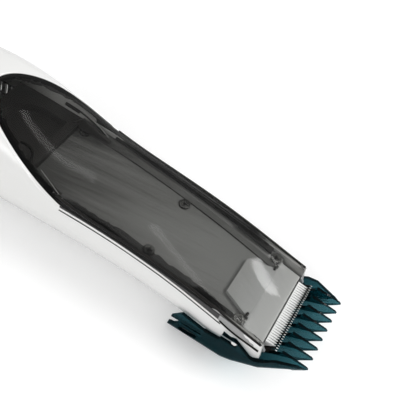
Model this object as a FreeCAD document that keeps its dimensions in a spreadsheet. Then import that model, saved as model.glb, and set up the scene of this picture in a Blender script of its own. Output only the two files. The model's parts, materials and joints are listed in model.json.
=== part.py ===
import FreeCAD, Part
import Sketcher
import math
import os
from FreeCAD import Placement, Rotation, Vector

# A cordless vacuum hair clipper, lying on its back with the smoked lid of its hair chamber on top.
# Everything is drawn in the head frame: its origin is the middle of the lid's front edge, X runs
# towards the blades, Y across the blades and Z out of the lid. Each sub-part's Placement then moves
# it to the model's origin, which is on the surface under the middle of the whole clipper.

SIZES = {
    # Overall lengths, from the lid's front edge.
    "rear_length": 188.0,
    "comb_reach": 20.4,
    "stand_height": 23.0,
    # Housing cross-sections, front to rear: place, half width, top, underside, and the radii of
    # the top's crown, the shoulders and the belly. The heel stands ahead of the rear end, and the
    # tail is where the rear cap starts.
    "nose_x": 3.0, "nose_half_width": 23.7, "nose_top": -0.35, "nose_bottom": -17.0,
    "nose_crown": 1500.0, "nose_shoulder": 0.6, "nose_belly": 4.0,
    "neck_x": -24.0, "neck_half_width": 23.7, "neck_top": 6.1, "neck_bottom": -17.6,
    "neck_crown": 500.0, "neck_shoulder": 2.2, "neck_belly": 10.7,
    "waist_x": -60.0, "waist_half_width": 23.8, "waist_top": 11.5, "waist_bottom": -19.2,
    "waist_crown": 300.0, "waist_shoulder": 3.0, "waist_belly": 18.3,
    "back_x": -100.0, "back_half_width": 24.8, "back_top": 15.6, "back_bottom": -20.6,
    "back_crown": 200.0, "back_shoulder": 5.0, "back_belly": 21.0,
    "arch_x": -135.0, "arch_half_width": 24.8, "arch_top": 25.6, "arch_bottom": -22.0,
    "arch_crown": 160.0, "arch_shoulder": 10.0, "arch_belly": 20.0,
    "heel_reach": 23.0, "heel_half_width": 23.8, "heel_top": 27.0, "heel_bottom": -22.9,
    "heel_crown": 160.0, "heel_shoulder": 13.0, "heel_belly": 19.0,
    "tail_half_width": 21.0, "tail_top": 22.6, "tail_bottom": -21.0,
    "tail_crown": 160.0, "tail_shoulder": 11.0, "tail_belly": 15.0,
    "smallest_radius": 0.3,
    # Walls and fits.
    "wall": 2.0,
    "lid_wall": 1.7,
    "wall_fit": 0.3,
    "lid_gap": 0.25,
    "running_gap": 0.05,
    "seat_gap": 0.05,
    # Lid seam: one arc seen from the side, and the arch behind it seen from above.
    "seam_front_z": -0.2,
    "seam_middle_z": 6.9,
    "seam_rear_z": 10.2,
    "seam_length": 100.0,
    "arch_seam_x": -94.0,
    "arch_seam_length": 54.0,
    "arch_seam_half_width": 24.45,
    "lid_tongue_depth": 3.0,
    "rim_height": 2.5,
    "seal_width": 1.1,
    "seal_height": 1.2,
    # Hair chamber: a tray with sloping sides that follows the seam.
    "chamber_depth": 4.5,
    "tray_floor": 1.5,
    "tray_rim_drop": 1.9,
    "tray_front_x": -10.4,
    "tray_rear_x": -117.0,
    "trough_half_width": 18.0,
    "trough_level_z": 3.3,
    "trough_draft": 0.5,
    # Screws that hold the tray and the head.
    "tray_screw_head": 2.4,
    "tray_screw_head_height": 1.4,
    "tray_screw_shank": 1.2,
    "tray_screw_length": 9.0,
    "tray_screw_sink": 0.6,
    "screw_cross_length": 1.2,
    "screw_cross_width": 0.3,
    "boss_radius": 2.8,
    "front_screw_x": -13.5, "front_screw_y": 18.6,
    "middle_screw_x": -59.0, "middle_screw_y": 15.2,
    "rear_screw_x": -113.5, "rear_screw_y": 18.8,
    # Filter across the rear of the chamber.
    "filter_gap": 0.3,
    "filter_rear_x": -150.6,
    "filter_bottom_z": 2.8,
    "filter_top_z": 8.6,
    "filter_rim": 4.0,
    "filter_half_width": 16.0,
    "mesh_thickness": 1.2,
    "mesh_ledge": 1.4,
    "mesh_pitch": 2.4,
    "mesh_hole": 1.5,
    "fin_half_span": 18.6,
    "fin_thickness": 1.2,
    "fin_height": 4.6,
    "fin_reach": 17.0,
    # Cutting head: the blades lie in a plane that falls away from the teeth.
    "blade_tilt": 38.0,
    "blade_tip_x": 5.6,
    "blade_tip_z": -3.4,
    "chin_x": 1.5,
    "chin_clearance": 0.2,
    "fixed_blade_thickness": 0.9,
    "fixed_blade_half_width": 20.0,
    "fixed_blade_length": 16.0,
    "fixed_blade_corner": 5.0,
    "tooth_pitch": 1.25,
    "tooth_slot": 0.55,
    "tooth_length": 3.4,
    "moving_blade_half_width": 18.2,
    "moving_blade_length": 11.0,
    "moving_blade_thickness": 1.1,
    "moving_tip_setback": 1.0,
    "moving_tip_height": 0.25,
    "moving_tooth_level": 4.4,
    "holder_half_width": 21.2,
    "holder_side": 1.3,
    "holder_bar_depth": 3.4,
    "holder_height": 3.2,
    "blade_screw_y": 10.0,
    "blade_screw_head": 1.8,
    "blade_screw_head_height": 0.8,
    "blade_screw_shank": 0.9,
    "blade_screw_length": 3.0,
    "cover_rear_x": -23.6,
    "cover_rear_z": 0.9,
    "cover_rear_half_width": 10.0,
    "cover_lip_z": -0.6,
    "cover_lip_half_width": 15.0,
    "cover_step_z": -1.5,
    "cover_front_x": -0.4,
    "cover_front_z": -3.1,
    "cover_wall": 1.1,
    "spring_thickness": 0.4,
    "spring_arm_y": 9.5,
    "spring_arm_width": 3.0,
    "spring_foot_length": 1.2,
    # Drive: motor, crank pin and rocking lever.
    "drive_axis_z": -6.9,
    "motor_radius": 10.2,
    "motor_height": 15.4,
    "motor_length": 32.0,
    "motor_front_x": -50.0,
    "shaft_radius": 1.0,
    "shaft_engagement": 4.0,
    "crank_throw": 1.1,
    "crank_disc_radius": 3.6,
    "crank_disc_thickness": 4.0,
    "crank_pin_radius": 1.0,
    "crank_pin_length": 6.0,
    "lever_pivot_x": -26.0,
    "lever_front_arm": 21.2,
    "lever_rear_arm": 16.0,
    "lever_thickness": 2.2,
    "lever_half_width": 2.6,
    "lever_hub_radius": 3.6,
    "lever_pin_radius": 1.5,
    "lever_fork_gap": 0.5,
    "lever_fork_wall": 1.8,
    "lever_finger_radius": 1.2,
    "lever_neck_half_width": 0.8,
    "lever_neck_length": 5.0,
    "yoke_half_width": 4.0,
    "yoke_length": 4.0,
    "yoke_height": 3.5,
    "yoke_floor": 0.6,
    "yoke_slot_fit": 0.06,
    "motor_cradle_length": 20.0,
    "motor_cradle_wall": 1.6,
    # Battery.
    "cell_radius": 7.0,
    "cell_length": 50.0,
    "cell_front_x": -92.0,
    "cell_spacing": 0.6,
    "cell_axis_z": -9.5,
    "cell_fit": 0.3,
    "contact_thickness": 0.5,
    "cell_holder_end": 1.5,
    "cell_holder_side": 1.0,
    "contact_half_height": 4.0,
    # Fan.
    "fan_reach": 35.0,
    "fan_axis_z": -4.0,
    "fan_case_radius": 16.4,
    "fan_case_wall": 1.2,
    "fan_case_length": 12.0,
    "fan_inlet_radius": 9.5,
    "fan_outlet_height": 9.0,
    "impeller_radius": 14.2,
    "impeller_length": 8.0,
    "impeller_disc": 1.2,
    "impeller_hub": 3.5,
    "impeller_eye": 5.6,
    "impeller_vanes": 11,
    "impeller_vane_thickness": 0.9,
    "fan_motor_radius": 8.0,
    "fan_motor_length": 12.0,
    "vent_setback": 0.5,
    "vent_length": 15.0,
    "vent_low_z": -7.0,
    "vent_high_z": 3.0,
    "vent_slots": 5,
    "vent_slot_width": 1.3,
    "vent_inset": 1.6,
    # Controls and charging.
    "board_reach": 35.5,
    "board_length": 17.0,
    "board_half_width": 11.0,
    "board_thickness": 1.2,
    "board_z": 20.5,
    "board_post_radius": 1.5,
    "button_reach": 30.0,
    "button_radius": 4.5,
    "button_flange": 0.9,
    "button_flange_thickness": 0.9,
    "button_round": 0.5,
    "button_top_z": 28.1,
    "button_travel": 0.8,
    "button_gap": 0.2,
    "switch_side": 6.0,
    "switch_height": 1.2,
    "light_reach": 21.6,
    "light_radius": 1.2,
    "socket_z": -13.4,
    "socket_bore": 1.8,
    "socket_nose": 3.0,
    "socket_half_width": 4.0,
    "socket_height": 5.2,
    "socket_length": 6.4,
    "socket_bore_depth": 9.0,
    "cap_length": 4.0,
    "cap_round": 3.4,
    "cap_sweep": 78.0,
    "cap_steps": 4,
    "cap_tab_length": 3.0,
    "housing_screw_reach": 11.5,
    "housing_screw_y": 14.2,
    "housing_screw_seat_z": -15.5,
    "housing_screw_head_height": 1.8,
    "housing_screw_length": 24.5,
    "housing_boss_radius": 3.8,
    # Grip pad under the rear.
    "pad_front_x": -118.0,
    "pad_rear_reach": 11.0,
    "pad_half_width": 10.6,
    "pad_thickness": 1.2,
    "pad_gap": 0.2,
    # Guide comb.
    "comb_wall": 1.5,
    "comb_gap": 0.6,
    "comb_plate": 1.4,
    "comb_heel_x": -12.5, "comb_heel_edge": 5.6,
    "comb_bend_x": -8.0, "comb_bend_rise": 1.1, "comb_bend_edge": 6.2,
    "comb_knee_x": 3.0, "comb_knee_half_width": 25.8, "comb_knee_edge": 6.6,
    "comb_toe_x": 15.6, "comb_toe_half_width": 21.3, "comb_toe_edge": 4.6,
    "comb_tip_half_width": 19.65, "comb_tip_low": -3.4, "comb_tip_edge": 2.4,
    "comb_slope_z": -8.6,
    "comb_slope": 0.573,
    "comb_tines": 8,
    "tine_pitch": 5.39,
    "tine_thickness": 1.5,
    "tine_slot_rear_x": -3.0,
    "comb_rear_x": -23.4,
    "catch_x": -10.0,
    "catch_z": -6.3,
    "catch_radius": 1.2,
    "catch_reach": 1.6,
    "catch_slot_fit": 0.3,
}

STATIONS = ("nose", "neck", "waist", "back", "arch", "heel", "tail")

# The model's origin, two places measured from the rear end, then the directions and reaches that
# cutting tools use: past everything, and just past a face.
FRONT = "(Sizes.rear_length - Sizes.comb_reach) / 2"
GROUND = "Sizes.stand_height"
FAN_FRONT = "(Sizes.fan_reach - Sizes.rear_length)"
BUTTON_X = "(Sizes.button_reach - Sizes.rear_length)"
ALONG_X = Rotation(Vector(0, 1, 0), 90)
FAR = 60.0
PAST = 1.0

doc = FreeCAD.newDocument("HairClipper")
sheet = doc.addObject("Spreadsheet::Sheet", "Sizes")
for row, (alias, value) in enumerate(SIZES.items(), start=1):
    sheet.set(f"A{row}", alias)
    sheet.set(f"B{row}", str(value))
    sheet.setAlias(f"B{row}", alias)
doc.recompute()


class Reader:
    """Reads the sheet's cells by their alias."""

    def __getattr__(self, alias):
        return float(sheet.get(alias))

    def from_rear(self, alias):
        """The place of what is measured forwards from the rear end."""
        return float(sheet.get(alias)) - self.rear_length


s = Reader()
head_place = Placement(Vector((s.rear_length - s.comb_reach) / 2, 0, s.stand_height), Rotation())
blade_place = Placement(
    Vector(s.blade_tip_x, 0, s.blade_tip_z), Rotation(Vector(0, 1, 0), -s.blade_tilt)
)


# Shapes drawn from corner points

def box(x_range, y_range, z_range):
    (x0, x1), (y0, y1), (z0, z1) = sorted(x_range), sorted(y_range), sorted(z_range)
    return Part.makeBox(x1 - x0, y1 - y0, z1 - z0, Vector(x0, y0, z0))


def rod(radius, start, end):
    start, end = Vector(*start), Vector(*end)
    return Part.makeCylinder(radius, (end - start).Length, start, end - start)


def face(points):
    return Part.Face(Part.makePolygon(points + points[:1]))


def side_prism(points, half_width, middle=0.0):
    """A prism across Y from corners given as (x, z)."""
    corners = [Vector(x, middle - half_width, z) for x, z in points]
    return face(corners).extrude(Vector(0, 2 * half_width, 0))


def plan_prism(points, z_range):
    """A prism along Z from corners given as (x, y)."""
    low, high = z_range
    return face([Vector(x, y, low) for x, y in points]).extrude(Vector(0, 0, high - low))


def end_prism(points, x_range):
    """A prism along X from corners given as (y, z)."""
    rear, front = x_range
    return face([Vector(rear, y, z) for y, z in points]).extrude(Vector(front - rear, 0, 0))


def both_sides(shape):
    """The shape and its mirror image across the middle plane."""
    return [shape, shape.mirror(Vector(0, 0, 0), Vector(0, 1, 0))]


# Sub-parts

def feature(label, shape):
    """A sub-part whose shape is made here, drawn in the head frame."""
    solids = shape.Solids
    made = doc.addObject("Part::Feature", label)
    made.Shape = solids[0] if len(solids) == 1 else Part.makeCompound(solids)
    made.Placement = head_place
    return made


def seat(part, x=FRONT, z=GROUND):
    """Bind a parametric sub-part's place to the sheet."""
    part.setExpression("Placement.Base.x", x)
    part.setExpression("Placement.Base.z", z)
    return part


def primitive(kind, name, sizes, place, turn=Rotation()):
    """A Part primitive whose sizes and place are expressions on the sheet."""
    made = doc.addObject("Part::" + kind, name)
    made.Placement = Placement(Vector(), turn)
    for size_name, expression in sizes.items():
        made.setExpression(size_name, expression)
    for axis, expression in zip("xyz", place):
        made.setExpression("Placement.Base." + axis, expression)
    return made


def cylinder(name, radius, height, place, turn=Rotation()):
    return primitive("Cylinder", name, {"Radius": radius, "Height": height}, place, turn)


def block(name, length, width, height, place):
    return primitive("Box", name, {"Length": length, "Width": width, "Height": height}, place)


def fuse(label, *pieces):
    made = doc.addObject("Part::MultiFuse", label)
    made.Shapes = list(pieces)
    return made


def cut(label, base, tool):
    made = doc.addObject("Part::Cut", label)
    made.Base = base
    made.Tool = tool
    return made


def group(label, *pieces):
    made = doc.addObject("Part::Compound", label)
    made.Links = list(pieces)
    return made


def body_sketch(body, name, role, corners):
    """A sketch on the body's own origin plane: corners are pairs of expressions on the sheet."""
    plane = [f for f in body.Origin.OriginFeatures if f.Role == role][0]
    sketch = body.newObject("Sketcher::SketchObject", name)
    sketch.AttachmentSupport = [(plane, "")]
    sketch.MapMode = "FlatFace"
    count = len(corners)
    start = [Vector(i, i * i, 0) for i in range(count)]
    for i in range(count):
        sketch.addGeometry(Part.LineSegment(start[i], start[(i + 1) % count]), False)
    for i in range(count):
        sketch.addConstraint(Sketcher.Constraint("Coincident", i, 2, (i + 1) % count, 1))
    for i, pair in enumerate(corners):
        for kind, expression in zip(("DistanceX", "DistanceY"), pair):
            value = evaluated(expression)
            index = sketch.addConstraint(Sketcher.Constraint(kind, -1, 1, i, 1, value))
            sketch.setExpression(f"Constraints[{index}]", expression)
    return sketch


def circle_sketch(body, name, role, radius, place=("0 mm", "0 mm")):
    plane = [f for f in body.Origin.OriginFeatures if f.Role == role][0]
    sketch = body.newObject("Sketcher::SketchObject", name)
    sketch.AttachmentSupport = [(plane, "")]
    sketch.MapMode = "FlatFace"
    sketch.addGeometry(Part.Circle(Vector(), Vector(0, 0, 1), 1), False)
    ring = sketch.addConstraint(Sketcher.Constraint("Radius", 0, evaluated(radius)))
    sketch.setExpression(f"Constraints[{ring}]", radius)
    for kind, expression in zip(("DistanceX", "DistanceY"), place):
        value = evaluated(expression)
        index = sketch.addConstraint(Sketcher.Constraint(kind, -1, 1, 0, 3, value))
        sketch.setExpression(f"Constraints[{index}]", expression)
    return sketch


def evaluated(expression):
    value = sheet.evalExpression(expression)
    return float(getattr(value, "Value", value))


def pad(body, name, sketch, length, backwards=False):
    made = body.newObject("PartDesign::Pad", name)
    made.Profile = sketch
    made.setExpression("Length", length)
    made.Reversed = backwards
    return made


def pocket(body, name, sketch, length, backwards=False):
    made = body.newObject("PartDesign::Pocket", name)
    made.Profile = sketch
    made.setExpression("Length", length)
    made.Reversed = backwards
    return made


# Housing surface: a loft through rounded cross-sections, inset for walls and fits

def station_x(station):
    if station == "tail":
        return s.from_rear("cap_length")
    return s.from_rear("heel_reach") if station == "heel" else getattr(s, station + "_x")


def section(station, inset, x=None):
    """One closed cross-section: crowned top, round shoulders, upright sides and a round belly."""
    x = station_x(station) if x is None else x
    half = getattr(s, station + "_half_width") - inset
    top = getattr(s, station + "_top") - inset
    bottom = getattr(s, station + "_bottom") + inset
    shoulder = max(getattr(s, station + "_shoulder") - inset, s.smallest_radius)
    belly = max(getattr(s, station + "_belly") - inset, s.smallest_radius)
    crown = getattr(s, station + "_crown") - inset
    side_y = half - shoulder
    rise = math.sqrt((crown - shoulder) ** 2 - side_y ** 2)
    shoulder_z = top - crown + rise
    share = crown / (crown - shoulder)
    edge_y, edge_z = side_y * share, top - crown + rise * share
    lean = math.atan2(rise, side_y)

    def at(y, z):
        return Vector(x, y, z)

    def shoulder_arc(side):
        middle = lean / 2
        return Part.Arc(
            at(side * edge_y, edge_z),
            at(side * (side_y + shoulder * math.cos(middle)), shoulder_z + shoulder * math.sin(middle)),
            at(side * half, shoulder_z),
        )

    def belly_arc(side):
        reach = belly * (1 - math.sqrt(0.5))
        return Part.Arc(
            at(side * half, bottom + belly),
            at(side * (half - reach), bottom + reach),
            at(side * (half - belly), bottom),
        )

    edges = [
        Part.Arc(at(-edge_y, edge_z), at(0, top), at(edge_y, edge_z)),
        shoulder_arc(1),
        Part.LineSegment(at(half, shoulder_z), at(half, bottom + belly)),
        belly_arc(1),
        Part.LineSegment(at(half - belly, bottom), at(belly - half, bottom)),
        belly_arc(-1),
        Part.LineSegment(at(-half, bottom + belly), at(-half, shoulder_z)),
        shoulder_arc(-1),
    ]
    return Part.Wire(Part.__sortEdges__([edge.toShape() for edge in edges]))


def hull(inset):
    """The housing's outer surface as a solid, moved inwards by the inset."""
    return Part.makeLoft([section(station, inset) for station in STATIONS], True, False)


def above_seam(depth):
    """Everything above the lid seam, lowered by the depth."""
    front = Vector(0, 0, s.seam_front_z - depth)
    middle = Vector(-s.seam_length / 2, 0, s.seam_middle_z - depth)
    rear = Vector(-s.seam_length, 0, s.seam_rear_z - depth)
    slope = (middle.z - front.z) / s.seam_length * 2
    lead = Vector(s.comb_reach, 0, front.z - slope * s.comb_reach)
    tail = Vector(-s.rear_length, 0, rear.z)
    edges = [
        Part.LineSegment(lead, front),
        Part.Arc(front, middle, rear),
        Part.LineSegment(rear, tail),
        Part.LineSegment(tail, Vector(tail.x, 0, FAR)),
        Part.LineSegment(Vector(tail.x, 0, FAR), Vector(lead.x, 0, FAR)),
        Part.LineSegment(Vector(lead.x, 0, FAR), lead),
    ]
    outline = Part.Wire([edge.toShape() for edge in edges])
    outline.translate(Vector(0, -FAR, 0))
    return Part.Face(outline).extrude(Vector(0, 2 * FAR, 0))


def seam_z(x):
    """The seam's height at a place along the arc."""
    front = Vector(0, s.seam_front_z, 0)
    middle = Vector(-s.seam_length / 2, s.seam_middle_z, 0)
    rear = Vector(-s.seam_length, s.seam_rear_z, 0)
    circle = Part.Circle(front, middle, rear)
    reach = max(x, -s.seam_length) - circle.Center.x
    return circle.Center.y + math.sqrt(circle.Radius ** 2 - reach ** 2)


def lid_plan(grow):
    """The lid's outline from above: straight sides, then half an ellipse over the rear."""
    x, long, wide = s.arch_seam_x, s.arch_seam_length + grow, s.arch_seam_half_width + grow
    ellipse = Part.Ellipse(Vector(x, 0, -FAR), long, wide)
    arch = Part.Wire([
        Part.Arc(ellipse, math.pi / 2, 3 * math.pi / 2).toShape(),
        Part.LineSegment(Vector(x, -wide, -FAR), Vector(x, wide, -FAR)).toShape(),
    ])
    rear = Part.Face(arch).extrude(Vector(0, 0, 2 * FAR))
    front = box((x, FAR), (-FAR, FAR), (-FAR, FAR))
    return rear.fuse(front)


def lid_bay(grow):
    """The strip between the housing's side walls, where the lid reaches lower."""
    half = s.nose_half_width - s.wall - s.wall_fit + grow
    return box((-s.seam_length, FAR), (-half, half), (-FAR, FAR))


def lid_region(grow, depth):
    """Where the lid is, grown by a gap for the cut in the housing."""
    skirt = above_seam(depth).common(lid_plan(grow))
    return skirt.fuse(above_seam(s.lid_tongue_depth + depth).common(lid_bay(grow)))


def on_blade_plane(x, rise=0.0):
    """The height at x of the plane that the blades slide in, or of one parallel to it."""
    tilt = math.radians(s.blade_tilt)
    return s.blade_tip_z + (x - s.blade_tip_x) * math.tan(tilt) + rise / math.cos(tilt)


def nose_cut():
    """What the open nose leaves out: ahead of the cheeks and below the blades' plane."""
    below = s.fixed_blade_thickness + s.chin_clearance
    chin_z = on_blade_plane(s.chin_x, -below)
    far_z = on_blade_plane(-FAR, -below)
    return side_prism(
        [(0, FAR), (0, s.seam_front_z), (s.chin_x, chin_z), (-FAR, far_z), (FAR, far_z), (FAR, FAR)], FAR
    )


outer_hull = hull(0)
inner_hull = hull(s.wall)
fit_hull = hull(s.wall + s.wall_fit)
upper_half = above_seam(s.rim_height)
shell = outer_hull.cut(inner_hull).cut(nose_cut())

TRAY_SCREWS = [
    (getattr(s, name + "_screw_x"), side * getattr(s, name + "_screw_y"))
    for name in ("front", "middle", "rear") for side in (-1, 1)
]
HOUSING_SCREWS = [(s.from_rear("housing_screw_reach"), side * s.housing_screw_y) for side in (-1, 1)]


def tray_seat_z(x, y):
    """Where a tray screw's head sits: sunk in the floor, or in the rim at the front."""
    floor_z = seam_z(x) - s.chamber_depth
    on_floor = abs(y) < trough_edge(floor_z)
    return (floor_z if on_floor else seam_z(x) - s.tray_rim_drop) - s.tray_screw_sink


def trough_edge(z):
    """Half the width of the chamber's open space at a height: its sides lean outwards."""
    return s.trough_half_width + s.trough_draft * (z - s.trough_level_z)


def tray_screw_hole(x, y):
    """The clearance hole for one tray screw, through the tray and down into its post."""
    tip_z = tray_seat_z(x, y) - s.tray_screw_length
    return rod(s.tray_screw_shank + s.seat_gap, (x, y, tip_z - s.wall_fit), (x, y, s.back_top))


def pad_outline(grow):
    """The grip pad's stadium shape, seen from below."""
    radius = s.pad_half_width + grow
    low, high = -FAR, s.drive_axis_z
    front, rear = s.pad_front_x - s.pad_half_width, s.from_rear("pad_rear_reach") + s.pad_half_width
    return box((rear, front), (-radius, radius), (low, high)).fuse([
        rod(radius, (front, 0, low), (front, 0, high)),
        rod(radius, (rear, 0, low), (rear, 0, high)),
    ])


def vent_window(grow):
    """The vent's rectangle, through one side of the housing."""
    front = s.from_rear("fan_reach") - s.vent_setback
    x_range = (front - s.vent_length - grow, front + grow)
    return box(x_range, (0, FAR), (s.vent_low_z - grow, s.vent_high_z + grow))


def make_lower_housing():
    solid = shell.cut(upper_half)
    under_tray = above_seam(s.chamber_depth + s.tray_floor + s.wall_fit)
    for x, y in TRAY_SCREWS:
        post = rod(s.boss_radius, (x, y, s.heel_bottom), (x, y, s.back_top)).cut(under_tray)
        solid = solid.fuse(post.common(outer_hull).cut(nose_cut())).cut(tray_screw_hole(x, y))
    for x, y in HOUSING_SCREWS:
        post = rod(s.housing_boss_radius, (x, y, s.heel_bottom), (x, y, s.seam_rear_z - s.rim_height))
        solid = solid.fuse(post.common(outer_hull))
        solid = solid.cut(rod(s.tray_screw_shank + s.seat_gap, (x, y, s.heel_bottom), (x, y, s.heel_top)))
        head = s.tray_screw_head + s.wall_fit
        solid = solid.cut(rod(head, (x, y, -FAR), (x, y, s.housing_screw_seat_z)))
    pivot_x, pin_z = s.lever_pivot_x, s.drive_axis_z - s.lever_thickness / 2 - s.wall_fit
    hub = rod(s.lever_hub_radius, (pivot_x, 0, s.neck_bottom), (pivot_x, 0, pin_z))
    hub = hub.cut(rod(s.lever_pin_radius, (pivot_x, 0, s.neck_bottom + s.wall), (pivot_x, 0, s.neck_top)))
    solid = solid.fuse(hub.common(hull(s.wall / 2)))
    for window in both_sides(vent_window(s.seat_gap)):
        solid = solid.cut(window)
    recess = pad_outline(s.pad_gap).cut(hull(s.pad_thickness + s.pad_gap))
    solid = solid.cut(recess)
    cheek = s.neck_half_width - s.wall / 2
    nub_end = s.neck_half_width + s.catch_reach
    nub = rod(s.catch_radius, (s.catch_x, cheek, s.catch_z), (s.catch_x, nub_end, s.catch_z))
    return solid.fuse(both_sides(nub)).removeSplitter()


def make_upper_housing():
    solid = shell.common(upper_half).cut(lid_region(s.lid_gap, s.lid_gap))
    split_z = s.seam_rear_z - s.rim_height
    for x, y in HOUSING_SCREWS:
        post = rod(s.boss_radius, (x, y, split_z + s.seat_gap), (x, y, s.heel_top)).common(outer_hull)
        solid = solid.fuse(post)
        top = s.housing_screw_seat_z + s.housing_screw_length
        solid = solid.cut(rod(s.tray_screw_shank + s.seat_gap, (x, y, -s.wall), (x, y, top + s.wall_fit)))
    board_top = s.board_z + s.board_thickness + s.seat_gap
    board_front = s.from_rear("board_reach")
    for x in (board_front - s.boss_radius, board_front - s.board_length + s.boss_radius):
        y = s.board_half_width - s.boss_radius
        for post in both_sides(rod(s.board_post_radius, (x, y, board_top), (x, y, s.heel_top))):
            solid = solid.fuse(post.common(outer_hull))
    button_x, light_x = s.from_rear("button_reach"), s.from_rear("light_reach")
    button = rod(s.button_radius + s.button_gap, (button_x, 0, split_z), (button_x, 0, FAR))
    light = rod(s.light_radius + s.seat_gap, (light_x, 0, split_z), (light_x, 0, FAR))
    return solid.cut([button, light]).removeSplitter()


def make_chamber_lid():
    cover = outer_hull.cut(hull(s.lid_wall))
    cover = cover.common(lid_region(0, 0)).common(box((-s.rear_length, 0), (-FAR, FAR), (-FAR, FAR)))
    return cover.removeSplitter()


def make_lid_seals():
    """Two soft strips along the inside of the housing rim, under the lid's edges."""
    low = s.tray_rim_drop - s.wall_fit
    band = above_seam(low).cut(above_seam(low - s.seal_height))
    ring = hull(s.wall + s.running_gap).cut(hull(s.wall + s.seal_width))
    front = s.front_screw_x - s.tray_screw_head - s.wall_fit
    side = box((-s.seam_length, front), (s.front_screw_y, FAR), (-FAR, FAR))
    strip = ring.common(band).common(side)
    return Part.makeCompound([piece for half in both_sides(strip) for piece in half.Solids])


def trough():
    """The open space in the tray."""
    low, high = s.neck_bottom, s.back_top
    corners = [
        (-trough_edge(low), low), (trough_edge(low), low),
        (trough_edge(high), high), (-trough_edge(high), high),
    ]
    prism = end_prism(corners, (-s.rear_length, s.comb_reach))
    return prism.common(above_seam(s.chamber_depth))


def make_chamber_tray():
    span = box((s.tray_rear_x, s.tray_front_x), (-FAR, FAR), (-FAR, FAR))
    solid = above_seam(s.chamber_depth + s.tray_floor).cut(above_seam(s.tray_rim_drop))
    solid = solid.common(fit_hull).common(span).cut(trough())
    for x, y in TRAY_SCREWS:
        seat_z = tray_seat_z(x, y)
        solid = solid.cut([
            rod(s.tray_screw_head + s.wall_fit, (x, y, seat_z), (x, y, s.back_top)), tray_screw_hole(x, y),
        ])
    return solid.removeSplitter()


def pan_screw(name, at, head_radius, head_height, shank_radius, length):
    """A cross-head screw, its head's underside at the given place and its shank pointing down.

    The cross is sized by shares of the head's radius, and half as deep as the head.
    """
    place = [f"{value:.6f}" if isinstance(value, float) else value for value in at]
    head = cylinder(name + "_head", head_radius, head_height, place)
    shank = cylinder(name + "_shank", shank_radius, length, place[:2] + [f"{place[2]} - {length}"])
    long, wide = f"{head_radius} * Sizes.screw_cross_length", f"{head_radius} * Sizes.screw_cross_width"
    slots = [
        block(
            f"{name}_slot_{turn}", across_x, across_y, head_height,
            [f"{place[0]} - {across_x} / 2", f"{place[1]} - {across_y} / 2", f"{place[2]} + {head_height} / 2"],
        )
        for turn, (across_x, across_y) in enumerate([(long, wide), (wide, long)])
    ]
    return cut(name, fuse(name + "_body", head, shank), fuse(name + "_cross", *slots))


def make_tray_screws():
    screws = [
        pan_screw(
            f"tray_screw_{i}", (x, y, tray_seat_z(x, y)),
            "Sizes.tray_screw_head", "Sizes.tray_screw_head_height",
            "Sizes.tray_screw_shank", "Sizes.tray_screw_length",
        )
        for i, (x, y) in enumerate(TRAY_SCREWS)
    ]
    return seat(group("tray_screws", *screws))


def slant_screws(label, places, head_radius, head_height, shank_radius, length):
    """Screws driven upwards: each place is the underside of the head's seat."""
    screws = []
    for i, (x, y, z) in enumerate(places):
        head = cylinder(f"{label}_head_{i}", head_radius, head_height, [x, y, f"({z}) - {head_height}"])
        shank = cylinder(f"{label}_shank_{i}", shank_radius, length, [x, y, z])
        screws.append(fuse(f"{label}_{i}", head, shank))
    return group(label, *screws)


def make_housing_screws():
    x = "(Sizes.housing_screw_reach - Sizes.rear_length)"
    places = [
        (x, f"{side} * Sizes.housing_screw_y", "Sizes.housing_screw_seat_z")
        for side in (-1, 1)
    ]
    return seat(slant_screws(
        "housing_screws", places, "Sizes.tray_screw_head", "Sizes.housing_screw_head_height",
        "Sizes.tray_screw_shank", "Sizes.housing_screw_length",
    ))


# Filter

def filter_window(inset):
    """The opening in the filter frame, with a round rear end."""
    front = s.tray_rear_x - s.filter_gap - s.filter_rim - inset
    radius = s.filter_half_width - inset
    rear = s.filter_rear_x + s.filter_rim + s.filter_half_width
    round_end = rod(radius, (rear, 0, -FAR), (rear, 0, FAR))
    stadium = box((rear, front), (-radius, radius), (-FAR, FAR)).fuse(round_end)
    return stadium.common(box((-s.rear_length, front), (-FAR, FAR), (-FAR, FAR)))


def make_filter_frame():
    front = s.tray_rear_x - s.filter_gap
    span = box((s.filter_rear_x, front), (-FAR, FAR), (s.filter_bottom_z, s.filter_top_z))
    mesh_seat = s.filter_bottom_z + s.mesh_thickness
    solid = fit_hull.common(span)
    solid = solid.cut(filter_window(s.mesh_ledge))
    solid = solid.cut(filter_window(0).common(above_level(mesh_seat)))
    root = front - s.filter_rim / 2
    low = tray_seat_z(s.rear_screw_x, s.rear_screw_y) + s.tray_screw_head_height + s.wall_fit
    tip = front + s.fin_reach
    tip_z = seam_z(tip) - s.rim_height / 2
    outline = [
        (root, low), (front, low), (tip - s.filter_rim / 4, tip_z - s.fin_thickness),
        (tip, tip_z), (root + s.filter_rim, s.filter_top_z + s.fin_height), (root, s.filter_top_z),
    ]
    return solid.fuse(both_sides(side_prism(outline, s.fin_thickness / 2, s.fin_half_span))).removeSplitter()


def above_level(z):
    return box((-s.rear_length, s.comb_reach), (-FAR, FAR), (z, FAR))


def make_filter_mesh():
    seat_z = s.filter_bottom_z + s.mesh_thickness
    layer = box((-s.rear_length, 0), (-FAR, FAR), (seat_z + s.seat_gap, seat_z + s.seat_gap + s.mesh_thickness))
    plate = filter_window(s.seat_gap * 2).common(layer)
    bounds = plate.BoundBox
    slots = []
    inner = filter_window(s.mesh_ledge + s.seat_gap)
    columns = int((bounds.XMax - bounds.XMin - s.mesh_ledge * 2) / s.mesh_pitch)
    for i in range(columns):
        x = bounds.XMax - s.mesh_ledge * 2 - i * s.mesh_pitch
        for side in (-1, 1):
            y_range = (side * s.mesh_ledge / 2, side * s.filter_half_width)
            slots.append(box((x - s.mesh_hole, x), y_range, (-FAR, FAR)).common(inner))
    return plate.cut(slots)


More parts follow.
